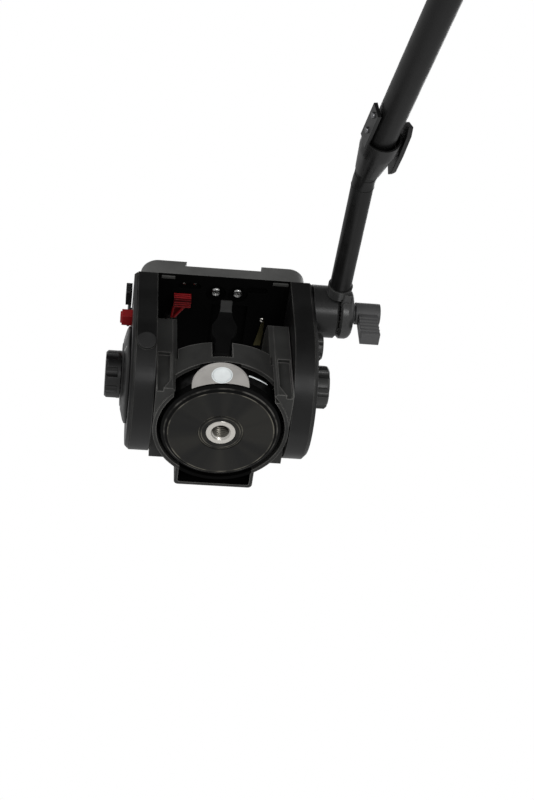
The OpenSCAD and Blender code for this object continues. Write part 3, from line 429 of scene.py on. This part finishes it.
def thread_rod(name, root, crest, pitch, low, high):
    """A threaded rod along Z, wound past both heights and cut off square there."""
    start = low - 2 * pitch
    turns = math.ceil((high - low) / pitch) + 3
    flanks = ((root, 0.0), (crest, 0.42), (crest, 0.58), (root, 1.0))
    tooth = [(radius, start + share * pitch) for radius, share in flanks]
    rod = turned(name, tooth, steps=32, rise=pitch, turns=turns)
    for height, spare in ((low, "clear_inner"), (high, "clear_outer")):
        bpy.ops.object.mode_set(mode="EDIT")
        bpy.ops.mesh.select_all(action="SELECT")
        bpy.ops.mesh.bisect(
            plane_co=(0, 0, height * mm), plane_no=(0, 0, 1), use_fill=True, **{spare: True},
        )
        bpy.ops.object.mode_set(mode="OBJECT")
    return close(rod)


def carve(piece, cutter, how="DIFFERENCE"):
    """Cuts one shape out of a piece, or fuses it on, and throws the shape away."""
    pick(piece)
    cut = piece.modifiers.new("cut", "BOOLEAN")
    cut.object = cutter
    cut.operation = how
    cut.solver = "EXACT"
    bpy.ops.object.modifier_apply(modifier="cut")
    pick(cutter)
    bpy.ops.object.delete()
    return close(piece)


bright_steel = bare_metal("bright_steel", (0.44, 0.425, 0.395), roughness=0.26)
# Dark oiled steel, also used as painted shade inside the bore.
oiled_and_shaded_steel = bare_metal("oiled_and_shaded_steel", (0.095, 0.09, 0.078), roughness=0.30)
insert_r = 7.6
insert_h = 10
insert_edge = 0.3
mouth_r = 5.0
mouth_h = 0.9
bore_r = 3.97
bore_lead = 0.07
groove_r = 4.72
tripod_pitch = 1.5875
tap_over = 1
bore_shade_r = 4.8 * mm
bore_shade_z = 1.2 * mm
insert = turned("thread_insert_tapped", [
    (0, mouth_h), (bore_r - bore_lead, mouth_h), (mouth_r, 0), (insert_r - insert_edge, 0),
    (insert_r, insert_edge), (insert_r, insert_h), (0, insert_h),
])
carve(insert, thread_rod("tripod_tap", bore_r, groove_r, tripod_pitch, -tap_over, insert_h + tap_over))
settle(insert, bright_steel)
# The faces inside the bore are painted dark as painted shade.
overpaint(insert, oiled_and_shaded_steel, lambda face: (
    math.hypot(face.center.x, face.center.y) < bore_shade_r and face.center.z > bore_shade_z
))
stand_in(insert, "thread_insert")


# Spindle and pan drag, inside the base
# A foot with three screws carries the steel spindle, and the alloy drag cup sits on the disc, where its rim
# shows through the rear window.
def repaint(material, *names):
    """A finish for solids whose shape is right as it is."""
    for name in names:
        slots = frame["nodes"][name].data.materials
        slots.clear()
        slots.append(material)


# The drag cup is painted near black as painted shade in the rear window.
shaded_drag_alloy = bare_metal("shaded_drag_alloy", (0.05, 0.05, 0.05), roughness=0.5)
repaint(oiled_and_shaded_steel, "pan_spindle")
repaint(bright_steel, "spindle_screws", "spindle_nut")
dress("pan_drag_stator", shaded_drag_alloy, edge=0.2 * mm)


# Pan housing
# Die-cast aluminium in a satin black paint that lies thick in the corners. Its edges are painted grey, partly
# as wear and partly as painted highlights. The thin box at its front is open at the bottom and has round
# corners, and its inside is painted black as painted shade.
def cast_paint(name, colour, roughness, wear_and_glint, gloss=0.26, worn_and_glint_colour=(0.13, 0.128, 0.122)):
    """Satin paint with a fine orange-peel skin, lighter along the edges as wear and as painted highlight."""
    made, wire, shader = finish_of(name, colour, roughness, gloss=gloss)
    place = wire.node("TexCoord", out="Object")
    tone, patches = mottled(wire, place, colour, size=14 * mm, by=0.14)
    rounded = wire.node("Bevel", {"samples": edge_samples}, {"Radius": 0.9 * mm})
    flat = wire.node("NewGeometry", out="Normal")
    turn = 1 - wire.node("VectorMath", {"operation": "DOT_PRODUCT"}, {0: rounded, 1: flat}, out="Value")
    # Lighter edges in patches: partly wear, partly painted highlight.
    rubbed_and_glint = turn.between(low=0.01, high=0.14) * patches.between(low=0.35, high=0.6, start=0.35)
    feed(shader, "Base Color", (rubbed_and_glint * wear_and_glint).mix(tone, (*worn_and_glint_colour, 1)))
    feed(shader, "Roughness", uneven(patches, roughness, by=0.05))
    feed(shader, "Normal", relief(wire, speckle(wire, place, size=0.7 * mm), depth=0.02 * mm, strength=0.5))
    return made


def split(piece, place, normal):
    """Cuts a line round the piece where a plane meets it, so that its faces can differ on the two sides."""
    pick(piece)
    bpy.ops.object.mode_set(mode="EDIT")
    bpy.ops.mesh.select_all(action="SELECT")
    bpy.ops.mesh.bisect(plane_co=place, plane_no=normal)
    bpy.ops.object.mode_set(mode="OBJECT")


def round_corner(piece, x, y, radius):
    """Rounds the upright edge of a piece at that place, in millimetres."""
    pick(piece)
    bpy.ops.object.mode_set(mode="EDIT")
    bpy.ops.mesh.select_all(action="DESELECT")
    bpy.ops.object.mode_set(mode="OBJECT")
    for spot in piece.data.vertices:
        spot.select = math.hypot(spot.co.x - x * mm, spot.co.y - y * mm) < merge_gap
    bpy.ops.object.mode_set(mode="EDIT")
    bpy.ops.mesh.bevel(offset=radius * mm, segments=5)
    bpy.ops.object.mode_set(mode="OBJECT")


# The grey the edges turn to: partly wear, partly painted highlight.
edge_wear_and_glint = (0.18, 0.176, 0.168)
housing_paint = cast_paint(
    "housing_paint", (0.029, 0.029, 0.028), roughness=0.40, wear_and_glint=0.9, gloss=0.08, worn_and_glint_colour=edge_wear_and_glint,
)
painted_shade_black = cast_paint("painted_shade_black", (0.002, 0.002, 0.002), roughness=0.62, wear_and_glint=0.0, gloss=0.02)
box_x = 20.2
box_y = 41
box_wall = 1.8
box_outer_r = 2.2
box_inner_r = 1.2
box_slack = 0.01
hollow_x = (box_x - box_wall + box_slack) * mm
hollow_front = (box_y - box_wall + box_slack) * mm
hollow_rear = 26 * mm
housing = dress("pan_housing", housing_paint)
for side in (-1, 1):
    round_corner(housing, side * box_x, box_y, box_outer_r)
    round_corner(housing, side * (box_x - box_wall), box_y - box_wall, box_inner_r)
for side in (-1, 1):
    split(housing, (side * hollow_x, 0, 0), (1, 0, 0))
settle(housing, housing_paint)
# The inside of the front box is painted black as painted shade.
overpaint(housing, painted_shade_black, lambda face: (
    abs(face.center.x) < hollow_x and hollow_rear < face.center.y < hollow_front
))

# Cheeks and what they hold
# The cheeks are cast and painted like the housing and screwed to its roof from inside. Flat covers close them
# over the tilt drag on the left and the counterbalance spring on the right.
cheek_paint = cast_paint(
    "cheek_paint", (0.034, 0.034, 0.033), roughness=0.40, wear_and_glint=0.9, gloss=0.08, worn_and_glint_colour=edge_wear_and_glint,
)
for name in ("left_cheek", "right_cheek"):
    dress(name, cheek_paint, edge=0.05 * mm)
for name in ("drag_cover", "spring_cover"):
    dress(name, housing_paint, edge=0.25 * mm)
bearing_brass = bare_metal("bearing_brass", (0.44, 0.30, 0.11), roughness=0.30)
turned_alloy = bare_metal("turned_alloy", (0.66, 0.66, 0.66), roughness=0.24)
repaint(bright_steel, "cheek_screws", "counterbalance_spring")
repaint(bearing_brass, "pan_bushing", "tilt_bushings")
repaint(turned_alloy, "pan_drag_rotor", "tilt_drag_stator")


# Bubble level
# A round vial of pale plastic, pressed into the tongue. Its lower face is a shallow lens inside a groove, and
# its bubble stands a little off the middle on top.
def moulded_plastic(name, colour, roughness, grain=0.25 * mm, depth=0.012 * mm, gloss=0.3):
    """Injection-moulded plastic with a spark-eroded grain and slight blush."""
    made, wire, shader = finish_of(name, colour, roughness, gloss=gloss)
    place = wire.node("TexCoord", out="Object")
    tone, patches = mottled(wire, place, colour, size=8 * mm, by=0.08)
    feed(shader, "Base Color", tone)
    feed(shader, "Roughness", uneven(patches, roughness, by=0.05))
    feed(shader, "Normal", relief(wire, speckle(wire, place, grain), depth, strength=0.6))
    return made


def shift(x, y, z=0.0):
    """A move in millimetres."""
    return Matrix.Translation(Vector((x, y, z)) * mm)


def moved(piece, place):
    """Puts a piece in its place and keeps the place in its mesh."""
    pick(piece)
    piece.matrix_world = place
    bpy.ops.object.transform_apply()
    return piece


def add_to(body, piece):
    """A new piece that rides on a body and stands for no solid."""
    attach(piece, body)


vial_plastic = moulded_plastic(
    "vial_plastic", (0.84, 0.88, 0.89), roughness=0.12, grain=1.2 * mm, depth=0.01 * mm,
)
vial_low, vial_high = (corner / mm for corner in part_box("level_vial"))
vial_at = (vial_low + vial_high) / 2
vial_r = 5.2
vial_edge = 0.1
vial_top = vial_high.z - vial_edge
lens_rises = ((0, 0), (1.8, 0.04), (3.3, 0.16), (4.3, 0.45))
groove_z = vial_low.z + 0.75
ring_z = vial_low.z + 0.25
vial = turned("level_vial_lens", [
    *((radius, vial_low.z + rise) for radius, rise in lens_rises),
    (4.35, groove_z), (4.6, groove_z), (4.65, ring_z), (vial_r - vial_edge, ring_z),
    (vial_r, ring_z + vial_edge), (vial_r, vial_top - vial_edge), (vial_r - 2 * vial_edge, vial_top),
    (0, vial_top),
])
moved(vial, shift(vial_at.x, vial_at.y))
settle(vial, vial_plastic)
stand_in(vial, "level_vial")
bubble_clear = moulded_plastic(
    "bubble_clear", (0.70, 0.82, 0.30), roughness=0.10, grain=1.2 * mm, depth=0.005 * mm,
)
bubble_r = 1.5
bubble_off = (0.8, 0.6)
bubble_falls = ((0, 0), (0.6 * bubble_r, 0.03), (bubble_r, 0.12), (bubble_r, 0.2), (0, 0.2))
bubble = turned("level_bubble", [(radius, vial_high.z - fall) for radius, fall in bubble_falls], steps=32)
moved(bubble, shift(vial_at.x + bubble_off[0], vial_at.y + bubble_off[1]))
settle(bubble, bubble_clear)
add_to("pan_body", bubble)


# Level bracket
# A warm grey moulded tongue. Its riser goes up into the rear window and is painted black as painted shade, as
# is the root of a thin pale lip that runs from it round the window to the right.
def extruded(name, points, along):
    """A flat outline through points in millimetres, drawn out along a vector."""
    piece = drawn(name, points)
    bpy.ops.mesh.select_all(action="SELECT")
    bpy.ops.mesh.edge_face_add()
    bpy.ops.mesh.extrude_region_move(TRANSFORM_OT_translate={"value": Vector(along) * mm})
    bpy.ops.object.mode_set(mode="OBJECT")
    return close(piece)


tongue_plastic = moulded_plastic("tongue_plastic", (0.385, 0.37, 0.352), roughness=0.42)
riser_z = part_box("level_bracket")[0].z + 2.1 * mm
bracket = dress("level_bracket", tongue_plastic, edge=0.12 * mm)
split(bracket, (0, 0, riser_z), (0, 0, 1))
# The riser is painted black as painted shade.
overpaint(bracket, painted_shade_black, lambda face: face.center.z > riser_z)
lip_r = 34.0
lip_z = 7
lip_h = 0.5
lip_tip = 0.1
lip_swell = 0.4
lip_taper = 4
lip_root = math.radians(18.5)
lip_start = 11
lip_step = 2.6
lip_points = 11
lip_angles = [math.radians(lip_start + lip_step * step) for step in range(lip_points)]
lip_edge = [(lip_r, angle) for angle in lip_angles]
for step, angle in enumerate(reversed(lip_angles)):
    lip_edge.append((lip_r - lip_tip - lip_swell * min(1, step / lip_taper), angle))
lip = extruded("level_lip", [(r * math.sin(a), -r * math.cos(a), lip_z) for r, a in lip_edge], (0, 0, lip_h))
split(lip, (0, 0, 0), (math.cos(lip_root), math.sin(lip_root), 0))
settle(lip, vial_plastic)
# The root of the lip is painted black as painted shade.
overpaint(lip, painted_shade_black, lambda face: math.atan2(face.center.x, -face.center.y) < lip_root)
add_to("pan_body", lip)

# Pan lock
# A moulded lever on a steel pin behind the housing's arch. It leans back and flares below its middle, and its
# tip is painted grey as a painted highlight.
lever_black = moulded_plastic("lever_black", (0.0025, 0.0025, 0.0025), roughness=0.5, gloss=0.08)
lever_highlight = moulded_plastic("lever_tip_highlight", (0.032, 0.032, 0.0315), roughness=0.40)
tip_z = 55 * mm
lever = dress("pan_lock_lever", lever_black, edge=0.6 * mm)
# The tip above this height is painted grey as a painted highlight.
split(lever, (0, 0, tip_z), (0, 0, 1))
overpaint(lever, lever_highlight, lambda face: face.center.z > tip_z)
dark_steel = bare_metal("dark_steel", (0.16, 0.16, 0.165), roughness=0.34)
repaint(dark_steel, "pan_lock_pin")

# Arms and covers
# Two cast arms with flat covers stand outside the cheeks, painted like the housing in a deeper black. A
# moulded plug closes a hole in the left arm's rear edge.
arm_paint = cast_paint("arm_paint", (0.006, 0.006, 0.006), roughness=0.34, wear_and_glint=0.5, gloss=0.20)
for name in ("left_arm", "right_arm", "left_cover", "right_cover"):
    dress(name, arm_paint, edge=0.08 * mm)
plug_plastic = moulded_plastic("plug_plastic", (0.014, 0.014, 0.014), roughness=0.34)
dress("arm_plug", plug_plastic, edge=0.4 * mm)


# Cover screws
# Blackened steel screws with a low dome and a cross recess, three in each cover.
def dome_screw(name, head_r, head_h, stem_r, stem_l):
    """A dome-headed screw with a cross recess. Its head hangs below Z = 0 and its stem stands above."""
    dome = ((0, 1.0), (0.35, 0.97), (0.65, 0.86), (0.88, 0.62), (1.0, 0.28), (1.0, 0))
    piece = turned(name, [
        *((out * head_r, -down * head_h) for out, down in dome), (stem_r, 0), (stem_r, stem_l), (0, stem_l),
    ], steps=40)
    recess_w = 0.15 * head_r
    recess_l = 0.58 * head_r
    recess_d = 0.6 * head_h
    over = 1
    corner = [(recess_w, recess_l), (recess_w, recess_w), (recess_l, recess_w)]
    cross = []
    for quarter in range(4):
        cross += corner
        corner = [(y, -x) for x, y in corner]
    cutter = extruded("cross", [(x, y, -head_h - over) for x, y in cross], (0, 0, over + recess_d))
    return carve(piece, cutter)


def joined(name, pieces):
    """Several shapes made one piece."""
    pick(*pieces)
    bpy.ops.object.join()
    bpy.context.object.name = name
    return bpy.context.object


def copies_of(shape, name, places):
    """One piece made of copies of a shape at these places. The shape itself is thrown away."""
    made = []
    for place in places:
        pick(shape)
        bpy.ops.object.duplicate()
        made.append(moved(bpy.context.object, place))
    pick(shape)
    bpy.ops.object.delete()
    return joined(name, made)


cover_head = 1.1
cover_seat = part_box("cover_screws")[1].x / mm - cover_head
cover_holes = ((31, 70), (-32, 46), (0, 7.5))
cover_screw_places = [
    shift(side * cover_seat, y, z) @ Matrix.Rotation(-side * math.pi / 2, 4, "Y")
    for side in (-1, 1) for y, z in cover_holes
]
cover_screw = dome_screw("cover_screw", head_r=2.5, head_h=cover_head, stem_r=1.4, stem_l=5.0)
cover_screws = copies_of(cover_screw, "cover_screws_domed", cover_screw_places)
settle(cover_screws, dark_steel)
stand_in(cover_screws, "cover_screws")

# Platform
# A casting that bridges the arms, in a thinner and greyer paint. Its underside between the arms is painted
# black as painted shade, and four socket screws hold it to the arms.
platform_paint = cast_paint(
    "platform_paint", (0.078, 0.078, 0.076), roughness=0.42, wear_and_glint=0.2, worn_and_glint_colour=(0.2, 0.2, 0.195),
)
platform_low, platform_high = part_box("platform")
underside_shade_x = 35 * mm
underside_shade_roof = platform_low.z + 7 * mm
underside_shade_wall = platform_low.z + 6 * mm
underside_shade_inset = 1 * mm
half_turned = 0.5


def is_shade_painted(face):
    """Faces of the underside that look down, or stand within the rear and front faces: painted shade."""
    spot = face.center
    within = platform_low.y + underside_shade_inset < spot.y < platform_high.y - underside_shade_inset
    hidden = face.normal.z < -half_turned or (within and spot.z < underside_shade_wall)
    return abs(spot.x) < underside_shade_x and spot.z < underside_shade_roof and hidden


platform = dress("platform", platform_paint, edge=0.12 * mm)
# The underside between the arms is painted black as painted shade.
overpaint(platform, painted_shade_black, is_shade_painted)
dress("arm_screws", dark_steel, edge=0.2 * mm)


# Platform lands
# Two low oblong lands near the rear edge of the underside, cast with the platform and painted grey as
# painted highlights.
def block(name, low, high):
    """A block between two corners in millimetres."""
    (x0, y0, z0), (x1, y1, z1) = low, high
    return extruded(name, [(x0, y0, z0), (x1, y0, z0), (x1, y1, z0), (x0, y1, z0)], (0, 0, z1 - z0))


def softened(piece, width):
    """Breaks every edge of a new shape."""
    pick(piece)
    edges = piece.modifiers.new("edges", "BEVEL")
    edges.width = width
    edges.segments = edge_steps
    bpy.ops.object.modifier_apply(modifier="edges")
    return piece


# Grey for the lands: painted highlights.
land_glint_paint = cast_paint("land_glint_paint", (0.05, 0.05, 0.048), roughness=0.44, wear_and_glint=0.2)
land_y = (-36.6, -34.8)
land_z = (77.5, 78.4)
lands = joined("platform_lands", [
    softened(block("land", (left, land_y[0], land_z[0]), (right, land_y[1], land_z[1])), 0.25 * mm)
    for left, right in ((-32.5, -25.5), (25.4, 33.6))
])
settle(lands, land_glint_paint)
add_to("tilt_body", lands)

# Underside screws
# Two bright plated screws with a high dome and a cross recess, sunk in round recesses of the platform.
plated_steel = bare_metal("plated_steel", (0.28, 0.28, 0.275), roughness=0.22)
underside_x = (-3.5, 7.9)
underside_y = -27
underside_seat = 80.2
underside_screw = dome_screw("underside_screw", head_r=2.9, head_h=2.0, stem_r=1.7, stem_l=4.0)
underside_screws = copies_of(
    underside_screw, "underside_screws_domed", [shift(x, underside_y, underside_seat) for x in underside_x],
)
settle(underside_screws, plated_steel)
stand_in(underside_screws, "underside_screws")

# Leaf spring
# A strip of brass, darkened as painted shade, cut to a taper and held under the platform by a small stud.
shaded_brass = bare_metal("shaded_brass", (0.052, 0.046, 0.021), roughness=0.42)
leaf_low, leaf_high = (corner.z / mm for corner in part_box("leaf_spring"))
leaf_outline = ((22.5, -12.9), (23.9, -12.8), (24.0, -4), (23.4, 5.2), (19.6, 5.5), (21.2, -3.7))
leaf_rise = (0, 0, leaf_high - leaf_low)
leaf = extruded("leaf_spring_formed", [(x, y, leaf_low) for x, y in leaf_outline], leaf_rise)
settle(softened(leaf, 0.15 * mm), shaded_brass)
stand_in(leaf, "leaf_spring")

# Studs
# Turned steel studs with a low dome: one through the leaf spring and two in the left pocket of the platform.
stud_r = 1.4
stud_top = 0.5
leaf_stud = (22.4, -12.2, leaf_low)
pocket_y = -30.5
pocket_z = 80.4
stud = turned("stud", [
    (0, -0.8), (0.5 * stud_r, -0.72), (1.2, -0.45), (stud_r, -0.1), (stud_r, stud_top), (0, stud_top),
], steps=32)
studs = copies_of(stud, "platform_studs", [
    shift(*leaf_stud), shift(-20.4, pocket_y, pocket_z), shift(-14.6, pocket_y, pocket_z),
])
settle(studs, bright_steel)
add_to("tilt_body", studs)

# Tilt axles, inside the arms
# Ground steel axles carry the drag rotor on the left and the arbor of the counterbalance spring on the right.
# The pin of the catch and the spring of the button are of the same steel.
repaint(bright_steel, "left_axle", "right_axle", "spring_arbor", "catch_pin", "button_spring")
repaint(turned_alloy, "tilt_drag_rotor")

# Controls
# Moulded knobs with round flutes, a stepped dial behind the drag knob and a flat lever for the plate lock.
black_plastic = moulded_plastic("black_plastic", (0.005, 0.005, 0.005), roughness=0.32)
# A lighter copy of the black plastic for the two knobs on the lit right side: painted light.
lit_knob_plastic = moulded_plastic("lit_knob_plastic", (0.027, 0.027, 0.0265), roughness=0.32)
dress("drag_dial", black_plastic, edge=0.3 * mm)
dress("tilt_drag_knob", black_plastic, edge=0.12 * mm)
dress("plate_lock_lever", black_plastic, edge=0.05 * mm)
dress("counterbalance_knob", lit_knob_plastic, edge=0.12 * mm)
dress("tilt_lock_knob", lit_knob_plastic)

# Safety button and plate catch
# Both are moulded in red. The catch swings on a pin, its thumb pad is ribbed behind and below, and two thin
# webs brace it. The faces between its ribs and under its arm are a darker red as painted shade, and the end
# that holds the pin is painted black as painted shade.
red_plastic = moulded_plastic("red_plastic", (0.24, 0.008, 0.010), roughness=0.34)
painted_shade_red = moulded_plastic("painted_shade_red", (0.055, 0.002, 0.003), roughness=0.5, gloss=0.1)
dress("safety_button", red_plastic, edge=0.2 * mm)
catch_low, catch_high = (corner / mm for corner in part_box("plate_catch"))
hub_x = -25.3
hub_y = -12.5
thumb_x = (-25.4, catch_high.x)
thumb_front = -22.2
rib_deep = (0.2, 1.2)
nearly_level = 0.7
groove_places = (-25.3, -24.0, -22.7)
groove_w = 0.6
groove_d = 0.8
groove_over = 1
arm_low = 74.5
face_slack = 0.05
catch = dress("plate_catch", red_plastic, edge=0.1 * mm)
for y in groove_places:
    carve(catch, block(
        "groove", (thumb_x[0] - groove_over, y - groove_w / 2, catch_low.z - groove_over),
        (thumb_x[1] + groove_over, y + groove_w / 2, catch_low.z + groove_d),
    ))
settle(catch, red_plastic)
split(catch, (hub_x * mm, 0, 0), (1, 0, 0))
split(catch, (0, hub_y * mm, 0), (0, 1, 0))


def is_shaded(face):
    """Faces between the ribs behind and below the thumb pad, and the underside of the arm: painted shade."""
    spot = face.center / mm
    behind = catch_low.y + rib_deep[0] < spot.y < catch_low.y + rib_deep[1]
    between_ribs = behind and (face.normal.y < -half_turned or abs(face.normal.z) > nearly_level)
    in_groove = catch_low.z + face_slack < spot.z < catch_low.z + groove_d + face_slack
    under_arm = abs(spot.z - arm_low) < face_slack
    below = under_arm or (in_groove and spot.y < thumb_front)
    return abs(face.normal.x) <= half_turned and (between_ribs or below)


# A darker red in the grooves and under the arm: painted shade.
overpaint(catch, painted_shade_red, is_shaded)
# The end that holds the pin is painted black as painted shade.
overpaint(catch, black_plastic, lambda face: face.center.x < hub_x * mm or face.center.y > hub_y * mm)
web_z = 73.8
web_h = 1.8
web_rear = -21.7
web_front = -12.4
web_list = []
for rear_x, front_x in (((-17.5, -19.1), (-25.2, -23.8)), ((-24.2, -25.3), (-26.2, -25.2))):
    web_outline = [(x, web_rear, web_z) for x in rear_x] + [(x, web_front, web_z) for x in front_x]
    web_list.append(softened(extruded("web", web_outline, (0, 0, web_h)), 0.2 * mm))
webs = joined("catch_web", web_list)
settle(webs, red_plastic)
add_to("catch", webs)

# Dial marks
# Short white strokes round the drag dial's cone, and one on the knob's face that points at them. They are
# filled with paint that stands a little proud.
dial_white = moulded_plastic("dial_white", (0.62, 0.62, 0.60), roughness=0.5)
knob_low, knob_high = (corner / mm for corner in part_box("tilt_drag_knob"))
tilt_centre = shift(0, 0, (knob_low.z + knob_high.z) / 2)
dial_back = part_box("drag_dial")[1].x / mm
stroke_r = (18.8, 22.6)
stroke_x = (dial_back - 3.0, dial_back - 2.0)
stroke_h = 0.25
stroke_w = 0.5
stroke_outline = (
    (stroke_x[0], stroke_r[0]), (stroke_x[0] - stroke_h, stroke_r[0]),
    (stroke_x[1] - stroke_h, stroke_r[1]), (stroke_x[1], stroke_r[1]),
)
stroke_n = 9
first_angle = -100
angle_step = 25
stroke = extruded("stroke", [(x, -stroke_w / 2, z) for x, z in stroke_outline], (0, stroke_w, 0))
dial_strokes = copies_of(stroke, "dial_strokes", [
    tilt_centre @ Matrix.Rotation(math.radians(first_angle + angle_step * step), 4, "X")
    for step in range(stroke_n)
])
settle(dial_strokes, dial_white)
add_to("tilt_body", dial_strokes)
pointer_w = 0.8
pointer_r = (6.0, 10.4)
pointer_x = (knob_low.x - 0.08, knob_low.x + 0.3)
pointer = block(
    "knob_pointer", (pointer_x[0], -pointer_w / 2, pointer_r[0]), (pointer_x[1], pointer_w / 2, pointer_r[1]),
)
moved(pointer, tilt_centre)
settle(pointer, dial_white)
add_to("drag_knob", pointer)

# Camera plate
# An extruded plate that slides in the dovetail. A steel jaw on the left clamps it.
dress("camera_plate", platform_paint, edge=0.16 * mm)
dress("clamp_jaw", dark_steel, edge=0.2 * mm)

# Camera pad
# A rubber pad with ribs along the plate, glued on top of it, with a hole for the camera screw.
pad_rubber = moulded_plastic(
    "pad_rubber", (0.012, 0.012, 0.012), roughness=0.72, grain=0.4 * mm, depth=0.03 * mm,
)
pad_low, pad_high = (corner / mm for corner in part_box("plate_pad"))
rib_n = 20
rib_step = (pad_high.x - pad_low.x) / rib_n
rib_d = 0.6
rib_shape = ((0.08, rib_d), (0.24, 0.0), (0.76, 0.0), (0.92, rib_d))
section = [(pad_low.x, pad_low.z)]
for rib in range(rib_n):
    for across, down in rib_shape:
        section.append((pad_low.x + (rib + across) * rib_step, pad_high.z - down))
section.append((pad_high.x, pad_low.z))
pad = extruded("plate_pad_ribbed", [(x, pad_low.y, z) for x, z in section], (0, pad_high.y - pad_low.y, 0))
screw_low, screw_high = (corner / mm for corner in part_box("camera_screw"))
screw_place = shift(0, (screw_low.y + screw_high.y) / 2)
hole_r = 4.175
hole_over = 0.9
hole_low = pad_low.z - hole_over
hole_high = pad_high.z + hole_over
pad_hole = turned("pad_hole", [(0, hole_low), (hole_r, hole_low), (hole_r, hole_high), (0, hole_high)])
carve(pad, moved(pad_hole, screw_place))
settle(pad, pad_rubber)
stand_in(pad, "plate_pad")

# Camera screw
# A turned steel screw, captive in the plate, with a coin slot below and a camera thread above.
head_r = screw_high.x
head_edge = 0.4
head_top = screw_low.z + 2.4
neck_r = 2.675
neck_top = 93.2
neck_overlap = 0.3
slot_w = 2
slot_l = 18
slot_d = 1
slot_over = 0.8
camera_screw = turned("camera_screw_threaded", [
    (0, screw_low.z), (head_r - head_edge, screw_low.z), (head_r, screw_low.z + head_edge),
    (head_r, head_top - head_edge), (head_r - head_edge, head_top), (neck_r, head_top), (neck_r, neck_top),
    (0, neck_top),
])
carve(camera_screw, block(
    "coin_slot", (-slot_w / 2, -slot_l / 2, screw_low.z - slot_over),
    (slot_w / 2, slot_l / 2, screw_low.z + slot_d),
))
screw_thread = thread_rod(
    "camera_screw_thread", root=2.5, crest=3.175, pitch=1.27, low=neck_top - neck_overlap, high=screw_high.z,
)
carve(camera_screw, screw_thread, how="UNION")
moved(camera_screw, screw_place)
settle(camera_screw, bright_steel)
stand_in(camera_screw, "camera_screw")

# Bar joint
# A cast boss on the right cover and the bar's cast head meet in a rosette of teeth. A bolt with a moulded
# wing knob clamps them.
joint_paint = cast_paint("joint_paint", (0.016, 0.016, 0.016), roughness=0.30, wear_and_glint=0.3, gloss=0.22)
# A lighter copy of the joint's paint for the bar's head: a painted highlight.
head_glint_paint = cast_paint("head_glint_paint", (0.030, 0.030, 0.030), roughness=0.27, wear_and_glint=0.3, gloss=0.34)
wing_plastic = moulded_plastic("wing_plastic", (0.068, 0.068, 0.069), roughness=0.42)
dress("rosette_boss", joint_paint)
dress("bar_head", head_glint_paint)
dress("bar_lock_knob", wing_plastic, edge=0.2 * mm)

# Pan bar
# A bent rod with a tube that slides on it, both anodised black. A moulded collar with screws and a wing lever
# holds the tube, which carries a rubber grip and its cap.
bar_finish = moulded_plastic("bar_finish", (0.005, 0.005, 0.005), roughness=0.34, gloss=0.2)
grip_rubber = moulded_plastic(
    "grip_rubber", (0.010, 0.010, 0.010), roughness=0.7, grain=0.5 * mm, depth=0.04 * mm,
)
dress("bar_collar", black_plastic, edge=0.05 * mm)
for name in ("collar_wing", "grip_cap"):
    dress(name, black_plastic, edge=0.3 * mm)
dress("collar_screws", dark_steel, edge=0.2 * mm)
for name in ("bar_rod", "bar_tube"):
    dress(name, bar_finish, edge=0.2 * mm)
repaint(grip_rubber, "bar_grip")
